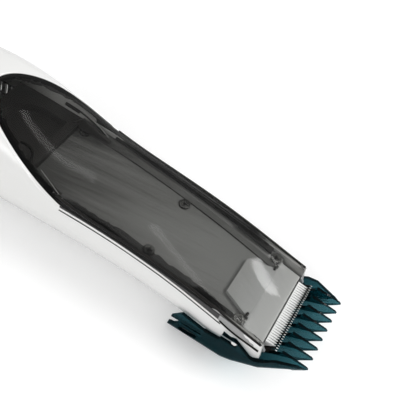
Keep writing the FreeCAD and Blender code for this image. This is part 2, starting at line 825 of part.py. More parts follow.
# Cutting head, drawn in the blade frame: X towards the tips along the slide plane, Z off it

BLADE_X = f"{FRONT} + Sizes.blade_tip_x"
BLADE_Z = f"{GROUND} + Sizes.blade_tip_z"


def seat_on_blades(part):
    part.Placement = Placement(Vector(), blade_place.Rotation)
    return seat(part, BLADE_X, BLADE_Z)


def blade_feature(label, shape):
    made = feature(label, shape)
    made.Placement = head_place.multiply(blade_place)
    return made


def in_blade_frame(shape):
    moved = shape.copy()
    moved.Placement = blade_place.inverse().multiply(moved.Placement)
    return moved


def cut_teeth(body, half_width, tip):
    """Slots between the teeth, in a row across the blade's front edge."""
    count = int(2 * half_width / s.tooth_pitch) - 1
    first = f"-{count - 1} / 2 * Sizes.tooth_pitch"
    low, high = f"{first} - Sizes.tooth_slot / 2", f"{first} + Sizes.tooth_slot / 2"
    root, past = f"{tip} - Sizes.tooth_length", f"{tip} + Sizes.tooth_length"
    sketch = body_sketch(body, "tooth_slot", "XY_Plane", [(root, low), (past, low), (past, high), (root, high)])
    slot = pocket(body, "tooth_cut", sketch, "Sizes.fixed_blade_length")
    slot.Midplane = True
    row = body.newObject("PartDesign::LinearPattern", "tooth_row")
    row.Originals = [slot]
    row.Direction = ([f for f in body.Origin.OriginFeatures if f.Role == "Y_Axis"][0], [""])
    row.setExpression("Length", f"{count - 1} * Sizes.tooth_pitch")
    row.Occurrences = count
    body.Tip = row
    return row


def make_fixed_blade():
    body = doc.addObject("PartDesign::Body", "fixed_blade")
    long, half, corner = "Sizes.fixed_blade_length", "Sizes.fixed_blade_half_width", "Sizes.fixed_blade_corner"
    outline = body_sketch(body, "plate_outline", "XY_Plane", [
        ("0", f"-{half}"), ("0", half), (f"{corner} - {long}", half), (f"-{long}", f"{half} - {corner}"),
        (f"-{long}", f"{corner} - {half}"), (f"{corner} - {long}", f"-{half}"),
    ])
    pad(body, "plate", outline, "Sizes.fixed_blade_thickness", backwards=True)
    cut_teeth(body, s.fixed_blade_half_width, "0")
    for side in (-1, 1):
        place = (blade_screw_x(), f"{side} * Sizes.blade_screw_y")
        ring = circle_sketch(body, "screw_hole", "XY_Plane", "Sizes.blade_screw_shank + Sizes.seat_gap", place)
        body.Tip = pocket(body, "screw_cut", ring, "Sizes.fixed_blade_thickness")
    return seat_on_blades(body)


def blade_screw_x():
    return "Sizes.holder_bar_depth / 2 - Sizes.fixed_blade_length"


def make_blade_screws():
    places = [
        (blade_screw_x(), f"{side} * Sizes.blade_screw_y", "-Sizes.fixed_blade_thickness")
        for side in (-1, 1)
    ]
    return seat_on_blades(slant_screws(
        "blade_screws", places, "Sizes.blade_screw_head", "Sizes.blade_screw_head_height",
        "Sizes.blade_screw_shank", "Sizes.blade_screw_length",
    ))


def make_moving_blade():
    """The cutter: wedge-shaped teeth with level tops on a thin plate, sliding on the fixed blade."""
    body = doc.addObject("PartDesign::Body", "moving_blade")
    tip, low = "-Sizes.moving_tip_setback", "Sizes.running_gap"
    cosine, sine = "cos(Sizes.blade_tilt * 1 deg)", "sin(Sizes.blade_tilt * 1 deg)"
    top_x = f"{tip} - Sizes.moving_tooth_level * {cosine}"
    top_z = f"{low} + Sizes.moving_tip_height + Sizes.moving_tooth_level * {sine}"
    plate_z = f"{low} + Sizes.moving_blade_thickness"
    root_x = f"{top_x} - ({top_z} - {low} - Sizes.moving_blade_thickness) * {sine} / {cosine}"
    rear = f"{tip} - Sizes.moving_blade_length"
    profile = body_sketch(body, "tooth_profile", "XZ_Plane", [
        (tip, low), (tip, f"{low} + Sizes.moving_tip_height"), (top_x, top_z),
        (root_x, plate_z), (rear, plate_z), (rear, low),
    ])
    plate = pad(body, "plate", profile, "2 * Sizes.moving_blade_half_width")
    plate.Midplane = True
    cut_teeth(body, s.moving_blade_half_width, tip)
    return seat_on_blades(body)


def yoke_rear():
    return -s.moving_tip_setback - s.moving_blade_length - s.wall_fit


def make_cutter_yoke():
    """The block on the cutter that the lever's finger pushes from side to side."""
    low = s.running_gap + s.moving_blade_thickness
    x_range = (yoke_rear() + s.wall_fit, yoke_rear() + s.wall_fit + s.yoke_length)
    block_ = box(x_range, (-s.yoke_half_width, s.yoke_half_width), (low, low + s.yoke_height))
    slot = s.lever_finger_radius + s.yoke_slot_fit
    return block_.cut(box((-FAR, FAR), (-slot, slot), (low + s.yoke_floor, FAR)))


def make_blade_holder():
    """The frame on the fixed blade: a bar behind the cutter and a cheek at each end."""
    rear = -s.fixed_blade_length
    front = -s.moving_tip_setback - s.tooth_length
    half, side = s.holder_half_width, s.holder_half_width - s.holder_side
    frame = box((rear, front), (-half, half), (0, s.holder_height))
    frame = frame.cut(box((rear + s.holder_bar_depth, FAR), (-side, side), (-FAR, FAR)))
    frame = frame.common(in_blade_frame(fit_hull))
    x = s.holder_bar_depth / 2 - s.fixed_blade_length
    for y in (-s.blade_screw_y, s.blade_screw_y):
        top = s.blade_screw_length - s.fixed_blade_thickness
        frame = frame.cut(rod(s.blade_screw_shank + s.seat_gap, (x, y, -PAST), (x, y, top + s.wall_fit)))
    return frame


def make_blade_spring():
    """Two spring arms on the holder's bar that press the cutter down."""
    rear, bend = -s.fixed_blade_length, s.holder_bar_depth - s.fixed_blade_length
    thick = s.spring_thickness
    foot = s.running_gap * 2 + s.moving_blade_thickness
    top = s.holder_height + s.seat_gap
    fall = top - foot
    end = bend + fall + s.spring_foot_length
    arm = side_prism([
        (rear, top), (bend, top), (bend + fall, foot), (end, foot), (end, foot + thick),
        (bend + fall, foot + thick), (bend + thick, top + thick), (rear, top + thick),
    ], s.spring_arm_width / 2, s.spring_arm_y)
    bridge = box((rear, rear + s.holder_bar_depth / 2), (-s.spring_arm_y, s.spring_arm_y), (top, top + thick))
    return bridge.fuse(both_sides(arm)).removeSplitter()


def make_head_cover():
    """The pale ramp under the lid that guides hair from the teeth into the tray."""
    rear_x, lip_x, front_x = s.cover_rear_x, s.tray_front_x, s.cover_front_x
    rear_z, lip_z, step_z, front_z = s.cover_rear_z, s.cover_lip_z, s.cover_step_z, s.cover_front_z
    step_x = lip_x + s.cover_wall
    block_ = side_prism([(rear_x, -FAR), (lip_x, -FAR), (lip_x, lip_z), (rear_x, rear_z)], FAR)
    rear_half, lip_half = s.cover_rear_half_width, s.cover_lip_half_width
    plan = [(rear_x, -rear_half), (rear_x, rear_half), (lip_x, lip_half), (lip_x, -lip_half)]
    block_ = block_.common(plan_prism(plan, (-FAR, FAR))).common(above_seam(s.chamber_depth - s.seat_gap))
    sheet_ = side_prism([
        (lip_x, lip_z), (step_x, step_z), (front_x, front_z), (front_x, front_z - s.cover_wall),
        (step_x, step_z - s.cover_wall), (lip_x, lip_z - s.cover_wall * 2),
    ], s.holder_half_width - s.holder_side - s.wall_fit)
    return block_.fuse(sheet_.common(fit_hull)).removeSplitter()


# Drive

def make_drive_motor():
    """A flat-sided can motor with a bore where the crank's shaft runs."""
    rear, axis = "Sizes.motor_front_x - Sizes.motor_length", "Sizes.drive_axis_z"
    can = cylinder("motor_round", "Sizes.motor_radius", "Sizes.motor_length", [rear, "0", axis], ALONG_X)
    flats = block(
        "motor_flats", "Sizes.motor_length", "2 * Sizes.motor_radius", "Sizes.motor_height",
        [rear, "-Sizes.motor_radius", f"{axis} - Sizes.motor_height / 2"],
    )
    body = doc.addObject("Part::MultiCommon", "motor_can")
    body.Shapes = [can, flats]
    bore = cylinder(
        "motor_bore", "Sizes.shaft_radius + Sizes.running_gap",
        "Sizes.shaft_engagement + 2 * Sizes.wall_fit",
        ["Sizes.motor_front_x - Sizes.shaft_engagement - Sizes.wall_fit", "0", axis], ALONG_X,
    )
    return seat(cut("drive_motor", body, bore))


def make_motor_crank():
    """Shaft, disc and off-centre pin, drawn about the motor's axis."""
    disc_rear = s.motor_front_x + s.wall_fit
    disc_front = disc_rear + s.crank_disc_thickness
    z = s.drive_axis_z
    disc = rod(s.crank_disc_radius, (disc_rear, 0, z), (disc_front, 0, z))
    shaft = rod(s.shaft_radius, (s.motor_front_x - s.shaft_engagement, 0, z), (disc_front, 0, z))
    pin_z = z + s.crank_throw
    pin = rod(s.crank_pin_radius, (disc_front, 0, pin_z), (disc_front + s.crank_pin_length, 0, pin_z))
    return disc.fuse([shaft, pin]).removeSplitter()


def make_motor_cradle():
    """A saddle on the housing floor, shaped to the motor's flat underside and round flanks."""
    middle = s.motor_front_x - s.motor_length / 2
    x_range = (middle - s.motor_cradle_length / 2, middle + s.motor_cradle_length / 2)
    half = s.motor_radius + s.motor_cradle_wall
    saddle = box(x_range, (-half, half), (-FAR, s.drive_axis_z - s.motor_height / 4)).common(fit_hull)
    grown = s.motor_radius + s.seat_gap * 2
    can = rod(grown, (x_range[0], 0, s.drive_axis_z), (x_range[1], 0, s.drive_axis_z))
    flat = s.motor_height / 2 + s.seat_gap
    can = can.common(box(x_range, (-FAR, FAR), (s.drive_axis_z - flat, s.drive_axis_z + flat)))
    return saddle.cut(can)


def make_drive_lever():
    """A rocker about its pin: a fork round the crank pin, and a finger in the cutter's yoke."""
    body = doc.addObject("PartDesign::Body", "drive_lever")
    swing = "Sizes.crank_pin_radius + 2 * Sizes.crank_throw + Sizes.lever_fork_gap"
    inner, outer = f"({swing})", f"({swing} + Sizes.lever_fork_wall)"
    half, neck, front = "Sizes.lever_half_width", "Sizes.lever_neck_half_width", "Sizes.lever_front_arm"
    end = "-(Sizes.lever_rear_arm + Sizes.crank_pin_length / 2)"
    root = "-(Sizes.lever_rear_arm - Sizes.crank_pin_length / 2 - 2 * Sizes.lever_fork_gap)"
    neck_x = f"{front} - Sizes.lever_neck_length"
    waist = f"{neck_x} - {half}"
    upper = [
        (front, neck), (neck_x, neck), (waist, half), (f"{root} + {half}", half),
        (root, outer), (end, outer), (end, inner), (root, inner),
    ]
    lower = [(x, f"-{y}") for x, y in reversed(upper)]
    outline = body_sketch(body, "lever_outline", "XY_Plane", upper + lower)
    hub = circle_sketch(body, "hub_outline", "XY_Plane", "Sizes.lever_hub_radius")
    finger = circle_sketch(body, "finger_outline", "XY_Plane", "Sizes.lever_finger_radius", (front, "0"))
    for name, sketch in (("arm", outline), ("hub", hub), ("finger", finger)):
        made = pad(body, name, sketch, "Sizes.lever_thickness")
        made.Midplane = True
    bore = circle_sketch(body, "pin_bore", "XY_Plane", "Sizes.lever_pin_radius + Sizes.running_gap")
    hole = pocket(body, "pin_hole", bore, "Sizes.lever_thickness * 2")
    hole.Midplane = True
    body.Tip = hole
    return seat(body, f"{FRONT} + Sizes.lever_pivot_x", f"{GROUND} + Sizes.drive_axis_z")


def make_lever_pin():
    low = "Sizes.neck_bottom + Sizes.wall + Sizes.seat_gap"
    high = "Sizes.drive_axis_z + Sizes.lever_thickness"
    pin = cylinder("lever_pin", "Sizes.lever_pin_radius", f"{high} - ({low})", ["0", "0", "0"])
    return seat(pin, f"{FRONT} + Sizes.lever_pivot_x", f"{GROUND} + {low}")


# Battery

def cell_y():
    return s.cell_radius + s.cell_spacing / 2


def make_battery_cells():
    cells = []
    for side in (-1, 1):
        place = [
            "Sizes.cell_front_x - Sizes.cell_length",
            f"{side} * (Sizes.cell_radius + Sizes.cell_spacing / 2)",
            "Sizes.cell_axis_z",
        ]
        cells.append(cylinder(f"cell_{side}", "Sizes.cell_radius", "Sizes.cell_length", place, ALONG_X))
    return seat(group("battery_cells", *cells))


def contact_ranges():
    """Where the contact plates stand, ahead of the cells and behind them."""
    front, rear = s.cell_front_x + s.seat_gap, s.cell_front_x - s.cell_length - s.seat_gap
    return (front, front + s.contact_thickness), (rear - s.contact_thickness, rear)


def contact_z(side):
    """The contact plates' lower and upper edges."""
    return s.cell_axis_z + side * s.contact_half_height


def make_battery_holder():
    (_, front), (rear, _) = contact_ranges()
    front += s.seat_gap + s.cell_holder_end
    rear -= s.seat_gap + s.cell_holder_end
    half = cell_y() + s.cell_radius + s.cell_holder_side
    solid = box((rear, front), (-half, half), (-FAR, s.cell_axis_z)).common(fit_hull)
    well = (rear + s.cell_holder_end, front - s.cell_holder_end)
    for side in (-1, 1):
        y = side * cell_y()
        solid = solid.cut(rod(
            s.cell_radius + s.cell_fit, (well[0], y, s.cell_axis_z), (well[1], y, s.cell_axis_z)
        ))
    for low, high in contact_ranges():
        slit = (low - s.seat_gap, high + s.seat_gap)
        solid = solid.cut(box(slit, (-cell_y(), cell_y()), (contact_z(-1) - s.seat_gap, FAR)))
    return solid.removeSplitter()


def make_battery_contacts():
    half = cell_y() + s.cell_radius / 2
    plates = [box(x_range, (-half, half), (contact_z(-1), contact_z(1))) for x_range in contact_ranges()]
    return Part.makeCompound(plates)


# Fan

def make_fan_case():
    """A drum round the impeller: an inlet in front, a shaft hole behind, an outlet to each side."""
    front = s.from_rear("fan_reach")
    rear = front - s.fan_case_length
    z, wall = s.fan_axis_z, s.fan_case_wall
    drum = rod(s.fan_case_radius, (rear, 0, z), (front, 0, z)).common(fit_hull)
    drum = drum.cut(rod(s.fan_case_radius - wall, (rear + wall, 0, z), (front - wall, 0, z)))
    inlet = rod(s.fan_inlet_radius, (front - wall * 2, 0, z), (front + PAST, 0, z))
    hole = rod(s.shaft_radius * 2, (rear - PAST, 0, z), (rear + wall * 2, 0, z))
    half = s.fan_outlet_height / 2
    outlets = both_sides(box((rear + wall, front - wall), (s.fan_inlet_radius, FAR), (z - half, z + half)))
    return drum.cut([inlet, hole] + outlets)


def make_fan_impeller():
    """Vanes round a hub on a disc, with the shaft behind; the body's Z is the fan's axis."""
    body = doc.addObject("PartDesign::Body", "fan_impeller")
    disc = circle_sketch(body, "disc_outline", "XY_Plane", "Sizes.impeller_radius")
    pad(body, "disc", disc, "Sizes.impeller_disc")
    hub = circle_sketch(body, "hub_outline", "XY_Plane", "Sizes.impeller_hub")
    pad(body, "hub", hub, "Sizes.impeller_length")
    shaft = circle_sketch(body, "shaft_outline", "XY_Plane", "Sizes.shaft_radius")
    pad(body, "shaft", shaft, f"{impeller_standoff()} + Sizes.shaft_engagement", backwards=True)
    half = "Sizes.impeller_vane_thickness / 2"
    inner, outer = "Sizes.impeller_eye", "Sizes.impeller_radius - Sizes.impeller_vane_thickness"
    vane = body_sketch(body, "vane_outline", "XY_Plane", [
        (inner, f"-{half}"), (outer, f"-{half}"), (outer, half), (inner, half),
    ])
    first = pad(body, "vane", vane, "Sizes.impeller_length")
    ring = body.newObject("PartDesign::PolarPattern", "vane_ring")
    ring.Originals = [first]
    ring.Axis = ([f for f in body.Origin.OriginFeatures if f.Role == "Z_Axis"][0], [""])
    ring.Angle = 360
    ring.Occurrences = int(s.impeller_vanes)
    body.Tip = ring
    body.Placement = Placement(Vector(), ALONG_X)
    return seat(body, f"{FRONT} + {impeller_rear()}", f"{GROUND} + Sizes.fan_axis_z")


def impeller_rear():
    return f"{FAN_FRONT} - Sizes.fan_case_length / 2 - Sizes.impeller_length / 2"


def impeller_standoff():
    """From the impeller's disc back to the front of its motor."""
    return "(Sizes.fan_case_length / 2 - Sizes.impeller_length / 2 + Sizes.seat_gap)"


def make_fan_motor():
    front = f"{FAN_FRONT} - Sizes.fan_case_length - Sizes.seat_gap"
    can = cylinder(
        "fan_motor_can", "Sizes.fan_motor_radius", "Sizes.fan_motor_length",
        [f"{front} - Sizes.fan_motor_length", "0", "Sizes.fan_axis_z"], ALONG_X,
    )
    bore = cylinder(
        "fan_motor_bore", "Sizes.shaft_radius + Sizes.running_gap",
        "Sizes.shaft_engagement + 2 * Sizes.wall_fit",
        [f"{front} - Sizes.shaft_engagement - Sizes.wall_fit", "0", "Sizes.fan_axis_z"], ALONG_X,
    )
    return seat(cut("fan_motor", can, bore))


def make_vent_grilles():
    """A slotted insert in each side of the housing, beside the fan."""
    skin = outer_hull.cut(hull(s.vent_inset)).common(vent_window(0))
    pitch = s.vent_length / s.vent_slots
    slots = []
    for i in range(int(s.vent_slots)):
        x = s.from_rear("fan_reach") - s.vent_setback - (i + 0.5) * pitch
        x_range = (x - s.vent_slot_width / 2, x + s.vent_slot_width / 2)
        slots.append(box(x_range, (0, FAR), (s.vent_low_z + pitch / 2, s.vent_high_z - pitch / 2)))
    return Part.makeCompound([half.Solids[0] for half in both_sides(skin.cut(slots))])


# Controls and charging

def make_circuit_board():
    body = doc.addObject("PartDesign::Body", "circuit_board")
    rear, half = "-Sizes.board_length", "Sizes.board_half_width"
    outline = body_sketch(body, "board_outline", "XY_Plane", [
        ("0", f"-{half}"), ("0", half), (rear, half), (rear, f"-{half}"),
    ])
    pad(body, "board", outline, "Sizes.board_thickness")
    return seat(body, f"{FRONT} + Sizes.board_reach - Sizes.rear_length", f"{GROUND} + Sizes.board_z")


def make_key_switch():
    half = "Sizes.switch_side / 2"
    case = block(
        "key_switch", "Sizes.switch_side", "Sizes.switch_side", "Sizes.switch_height", ["0", f"-{half}", "0"]
    )
    z = f"{GROUND} + Sizes.board_z + Sizes.board_thickness"
    return seat(case, f"{FRONT} + {BUTTON_X} - {half}", z)


def make_power_button():
    """A round push button with a flange that keeps it in the housing."""
    body = doc.addObject("PartDesign::Body", "power_button")
    low = (
        "(Sizes.board_z + Sizes.board_thickness + Sizes.switch_height"
        " + Sizes.button_travel + Sizes.seat_gap * 2)"
    )
    flange = circle_sketch(body, "flange_outline", "XY_Plane", "Sizes.button_radius + Sizes.button_flange")
    pad(body, "flange", flange, "Sizes.button_flange_thickness")
    stem = circle_sketch(body, "stem_outline", "XY_Plane", "Sizes.button_radius")
    top = pad(body, "stem", stem, f"Sizes.button_top_z - {low}")
    doc.recompute()
    rim = body.newObject("PartDesign::Fillet", "top_round")
    rim.Base = (top, [f"Edge{highest_edge(top.Shape)}"])
    rim.setExpression("Radius", "Sizes.button_round")
    body.Tip = rim
    return seat(body, f"{FRONT} + {BUTTON_X}", f"{GROUND} + {low}")


def highest_edge(shape):
    heights = [edge.CenterOfMass.z for edge in shape.Edges]
    return heights.index(max(heights)) + 1


def make_light_pipe():
    low = s.board_z + s.board_thickness + s.seat_gap
    x = s.from_rear("light_reach")
    return rod(s.light_radius, (x, 0, low), (x, 0, FAR)).common(outer_hull)


def make_rear_cap():
    """The rounded end of the housing, with tabs inside the shell and a hole for the socket."""
    sweep, tail_x = math.radians(s.cap_sweep), station_x("tail")
    profiles = []
    for i in range(int(s.cap_steps) + 1):
        turn = sweep * i / s.cap_steps
        inset = s.cap_round * (1 - math.cos(turn))
        x = tail_x - s.cap_length * math.sin(turn) / math.sin(sweep)
        profiles.append(section("tail", inset, x))
    cap = Part.makeLoft(profiles, True, False)
    tab = fit_hull.cut(hull(s.wall + s.wall_fit + s.cap_round / 2))
    y_range = (s.board_half_width + s.wall_fit, s.housing_screw_y)
    span = box((tail_x, tail_x + s.cap_tab_length), y_range, (-FAR, FAR))
    for piece in both_sides(tab.common(span)):
        cap = cap.fuse(piece)
    hole = s.socket_nose + s.seat_gap
    cap = cap.cut(rod(hole, (-s.rear_length - PAST, 0, s.socket_z), (tail_x + PAST, 0, s.socket_z)))
    return cap.removeSplitter()


def make_charge_socket():
    """A round low-voltage jack, open to the rear."""
    nose_rear = "-Sizes.rear_length + Sizes.seat_gap * 2"
    nose = cylinder(
        "socket_nose_tube", "Sizes.socket_nose", "Sizes.cap_length", [nose_rear, "0", "Sizes.socket_z"], ALONG_X
    )
    case = block(
        "socket_case", "Sizes.socket_length", "2 * Sizes.socket_half_width", "Sizes.socket_height",
        [f"{nose_rear} + Sizes.cap_length", "-Sizes.socket_half_width",
         "Sizes.socket_z - Sizes.socket_height / 2"],
    )
    bore = cylinder(
        "socket_hole", "Sizes.socket_bore", "Sizes.socket_bore_depth",
        [nose_rear, "0", "Sizes.socket_z"], ALONG_X,
    )
    return seat(cut("charge_socket", fuse("socket_body", nose, case), bore))


def make_grip_pad():
    skin = outer_hull.cut(hull(s.pad_thickness))
    return skin.common(pad_outline(0)).removeSplitter()


# Guide comb

def comb_stations():
    """The comb's sections, rear to front: place, half width, underside and edge radius."""
    wide, ground = s.neck_half_width + s.comb_gap + s.comb_wall, -s.stand_height
    return [
        (-s.rear_length / 2, wide, ground, s.comb_heel_edge),
        (s.comb_heel_x, wide, ground, s.comb_heel_edge),
        (s.comb_bend_x, wide, ground + s.comb_bend_rise, s.comb_bend_edge),
        (s.comb_knee_x, s.comb_knee_half_width, comb_slope_z(s.comb_knee_x), s.comb_knee_edge),
        (s.comb_toe_x, s.comb_toe_half_width, comb_slope_z(s.comb_toe_x), s.comb_toe_edge),
        (s.comb_reach + PAST, s.comb_tip_half_width, s.comb_tip_low, s.comb_tip_edge),
    ]


def comb_slope_z(x):
    """The height of the face that rests on the skin."""
    return s.comb_slope_z + (x - s.comb_toe_x) * s.comb_slope


def comb_trough(inset, plate):
    """The comb's outer or inner surface as a solid, ruled between its stations."""
    wires = []
    for x, half, low, radius in comb_stations():
        half, low = half - inset, low + plate
        radius = max(radius - inset, s.smallest_radius)
        reach = radius * (1 - math.sqrt(0.5))

        def at(y, z):
            return Vector(x, y, z)

        edges = [
            Part.LineSegment(at(-half, FAR), at(half, FAR)),
            Part.LineSegment(at(half, FAR), at(half, low + radius)),
            Part.Arc(at(half, low + radius), at(half - reach, low + reach), at(half - radius, low)),
            Part.LineSegment(at(half - radius, low), at(radius - half, low)),
            Part.Arc(at(radius - half, low), at(reach - half, low + reach), at(-half, low + radius)),
            Part.LineSegment(at(-half, low + radius), at(-half, FAR)),
        ]
        wires.append(Part.Wire([edge.toShape() for edge in edges]))
    return Part.makeLoft(wires, True, True)


def comb_side_outline():
    """The side walls seen from the side, down past the underside."""
    tip = s.comb_reach
    return [
        (tip, -3.2), (tip, -FAR), (s.comb_rear_x, -FAR), (s.comb_rear_x, -9.6), (-16.2, -9.0), (-15.9, -3.9),
        (-12.6, -4.6), (-10.2, -3.7), (-2.0, -8.9), (0.6, -8.8), (2.6, -7.2), (7.2, -4.2),
    ]


def tine_outline():
    """One tine seen from the side, from its rounded tip back to its root on the plate."""
    tip = s.comb_reach
    root = s.tine_slot_rear_x - s.comb_plate
    below = s.fixed_blade_thickness + s.blade_screw_head_height + s.wall_fit
    meet = s.blade_tip_x + s.comb_wall * 1.5
    return [
        (meet + 0.5, -2.3), (tip - 0.9, -2.5), (tip - 0.3, -2.8), (tip, -3.4), (tip - 0.2, -4.2),
        (tip - 1.0, -5.1), (s.comb_toe_x, comb_slope_z(s.comb_toe_x)), (root, comb_slope_z(root)),
        (root, on_blade_plane(root, -below)), (meet, on_blade_plane(meet, -below)),
    ]


def comb_arms():
    """Behind each side wall, a slim prong over a loop with a window."""
    rear, wide = s.comb_rear_x + s.comb_wall, FAR / 2
    prong = [
        (rear, -9.9), (rear - 12.0, -7.6), (rear - 15.9, -13.0), (rear - 12.8, -12.9), (rear, -12.4),
    ]
    loop = [
        (rear, -13.4), (rear - 11.0, -13.6), (rear - 16.2, -19.6), (rear - 16.5, -21.0),
        (rear - 13.0, -22.0), (rear, -22.0),
    ]
    window = [
        (rear - 3.0, -15.4), (rear - 9.4, -15.4), (rear - 11.8, -17.6), (rear - 8.4, -19.4),
        (rear - 2.6, -17.8),
    ]
    return side_prism(prong, wide).fuse(side_prism(loop, wide).cut(side_prism(window, wide + PAST)))


def make_guide_comb():
    outer = comb_trough(0, 0)
    inner = comb_trough(s.comb_wall, s.comb_plate)
    walls = side_prism(comb_side_outline(), FAR / 2).fuse(comb_arms()).common(outer)
    floor = s.neck_half_width - s.wall
    walls = walls.cut(inner).cut(box((-FAR, s.comb_rear_x), (-floor, floor), (-FAR, FAR)))
    first, gap = -(s.comb_tines - 1) / 2 * s.tine_pitch, s.tine_pitch - s.tine_thickness
    gaps = []
    for i in range(int(s.comb_tines) - 1):
        y = first + (i + 0.5) * s.tine_pitch
        gaps.append(box((s.tine_slot_rear_x, FAR), (y - gap / 2, y + gap / 2), (-FAR, FAR)))
    slot = s.catch_radius + s.catch_slot_fit
    for side in (-1, 1):
        gaps.append(box(
            (s.comb_rear_x + s.comb_wall, s.catch_x + slot), (side * s.nose_half_width, side * FAR),
            (s.catch_z - slot, s.catch_z + slot),
        ))
    solid = walls.cut(gaps)
    for i in range(int(s.comb_tines)):
        solid = solid.fuse(side_prism(tine_outline(), s.tine_thickness / 2, first + i * s.tine_pitch))
    return solid.removeSplitter()


FEATURES = {
    "lower_housing": make_lower_housing,
    "upper_housing": make_upper_housing,
    "chamber_lid": make_chamber_lid,
    "lid_seals": make_lid_seals,
    "chamber_tray": make_chamber_tray,
    "filter_frame": make_filter_frame,
    "filter_mesh": make_filter_mesh,
    "head_cover": make_head_cover,
    "motor_crank": make_motor_crank,
    "motor_cradle": make_motor_cradle,
    "battery_holder": make_battery_holder,
    "battery_contacts": make_battery_contacts,
    "fan_case": make_fan_case,
    "vent_grilles": make_vent_grilles,
    "light_pipe": make_light_pipe,
    "rear_cap": make_rear_cap,
    "grip_pad": make_grip_pad,
    "guide_comb": make_guide_comb,
}
BLADE_FEATURES = {
    "cutter_yoke": make_cutter_yoke,
    "blade_holder": make_blade_holder,
    "blade_spring": make_blade_spring,
}
PARAMETRIC = [
    make_tray_screws, make_housing_screws, make_fixed_blade, make_blade_screws, make_moving_blade,
    make_drive_motor, make_drive_lever, make_lever_pin, make_battery_cells, make_fan_impeller,
    make_fan_motor, make_circuit_board, make_key_switch, make_power_button, make_charge_socket,
]

parts = [feature(label, make()) for label, make in FEATURES.items()]
parts += [blade_feature(label, make()) for label, make in BLADE_FEATURES.items()]
parts += [make() for make in PARAMETRIC]
doc.recompute()

for made in doc.Objects:
    if "Invalid" in made.State or "Error" in made.State:
        raise RuntimeError(f"{made.Label} failed: {made.State}")
for part in parts:
    if part.Shape.isNull() or not part.Shape.isValid() or not part.Shape.Solids:
        raise RuntimeError(f"{part.Label} has no valid shape")
os.makedirs("parts", exist_ok=True)
for part in parts:
    part.Shape.exportStep(os.path.join("parts", part.Label + ".step"))
    print(f"{part.Label}: {len(part.Shape.Solids)} solids, {part.Shape.Volume:.1f} mm3")
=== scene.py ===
import bmesh
import bpy
import json
import math
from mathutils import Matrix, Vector
from mathutils.bvhtree import BVHTree
from mathutils.kdtree import KDTree

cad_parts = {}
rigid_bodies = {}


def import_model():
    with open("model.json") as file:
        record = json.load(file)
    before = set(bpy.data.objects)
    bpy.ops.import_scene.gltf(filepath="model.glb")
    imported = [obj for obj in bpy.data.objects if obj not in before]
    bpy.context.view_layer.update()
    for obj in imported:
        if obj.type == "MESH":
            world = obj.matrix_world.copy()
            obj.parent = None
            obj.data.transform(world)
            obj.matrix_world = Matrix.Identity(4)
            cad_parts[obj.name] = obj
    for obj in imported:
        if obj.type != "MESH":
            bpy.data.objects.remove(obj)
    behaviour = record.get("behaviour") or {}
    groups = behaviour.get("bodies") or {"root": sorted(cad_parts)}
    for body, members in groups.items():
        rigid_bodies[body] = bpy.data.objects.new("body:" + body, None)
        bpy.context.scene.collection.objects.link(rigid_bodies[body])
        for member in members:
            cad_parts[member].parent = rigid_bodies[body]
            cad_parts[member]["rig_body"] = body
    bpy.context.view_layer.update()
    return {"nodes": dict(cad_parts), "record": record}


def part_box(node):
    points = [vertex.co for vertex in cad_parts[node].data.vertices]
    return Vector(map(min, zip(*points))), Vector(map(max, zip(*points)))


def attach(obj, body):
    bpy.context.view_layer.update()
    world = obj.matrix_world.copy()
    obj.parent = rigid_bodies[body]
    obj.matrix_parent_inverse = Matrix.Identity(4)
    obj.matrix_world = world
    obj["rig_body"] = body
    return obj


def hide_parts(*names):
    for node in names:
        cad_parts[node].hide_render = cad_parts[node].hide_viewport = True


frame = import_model()
bodyOfNode = {name: node["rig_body"] for name, node in frame["nodes"].items()}
slotOfNode = {row["node"]: row["material_slot"] for row in frame["record"]["subparts"]}
mm = 0.001  # places and sizes on the lid, the chamber and the blades are in millimetres, all others in metres
print("frame:", len(frame["nodes"]), "nodes")


# Finishes

def newFinish(name):
    material = bpy.data.materials.new(name)
    material.use_nodes = True
    tree = material.node_tree
    return material, tree, tree.nodes["Principled BSDF"]


def objectPattern(tree, kind, scale, stretch=(1, 1, 1), turn=0.0, **settings):
    # A texture on the object's own coordinates, turned about Z and stretched along its axes
    coordinates = tree.nodes.new("ShaderNodeTexCoord")
    turned = tree.nodes.new("ShaderNodeVectorRotate")
    turned.rotation_type = "Z_AXIS"
    turned.inputs["Angle"].default_value = math.radians(turn)
    mapping = tree.nodes.new("ShaderNodeMapping")
    mapping.inputs["Scale"].default_value = stretch
    texture = tree.nodes.new(kind)
    texture.inputs["Scale"].default_value = scale
    for socket, value in settings.items():
        texture.inputs[socket].default_value = value
    tree.links.new(coordinates.outputs["Object"], turned.inputs["Vector"])
    tree.links.new(turned.outputs["Vector"], mapping.inputs["Vector"])
    tree.links.new(mapping.outputs["Vector"], texture.inputs["Vector"])
    return texture


def spread(tree, source, low, high, sourceLow=0.3, sourceHigh=0.7):
    # Turns a pattern into a plain number between two values
    span = tree.nodes.new("ShaderNodeMapRange")
    for socket, value in (("From Min", sourceLow), ("From Max", sourceHigh), ("To Min", low), ("To Max", high)):
        span.inputs[socket].default_value = value
    tree.links.new(source, span.inputs["Value"])
    return span.outputs["Result"]


def tint(tree, source, colours, places=(0.3, 0.7)):
    ramp = tree.nodes.new("ShaderNodeValToRGB")
    for i, (place, colour) in enumerate(zip(places, colours)):
        stop = ramp.color_ramp.elements[i] if i < 2 else ramp.color_ramp.elements.new(place)
        stop.position = place
        stop.color = (*colour, 1)
    tree.links.new(source, ramp.inputs["Fac"])
    return ramp.outputs["Color"]


mixColours = {"first": 6, "second": 7, "result": 2}  # the colour sockets of a Mix node


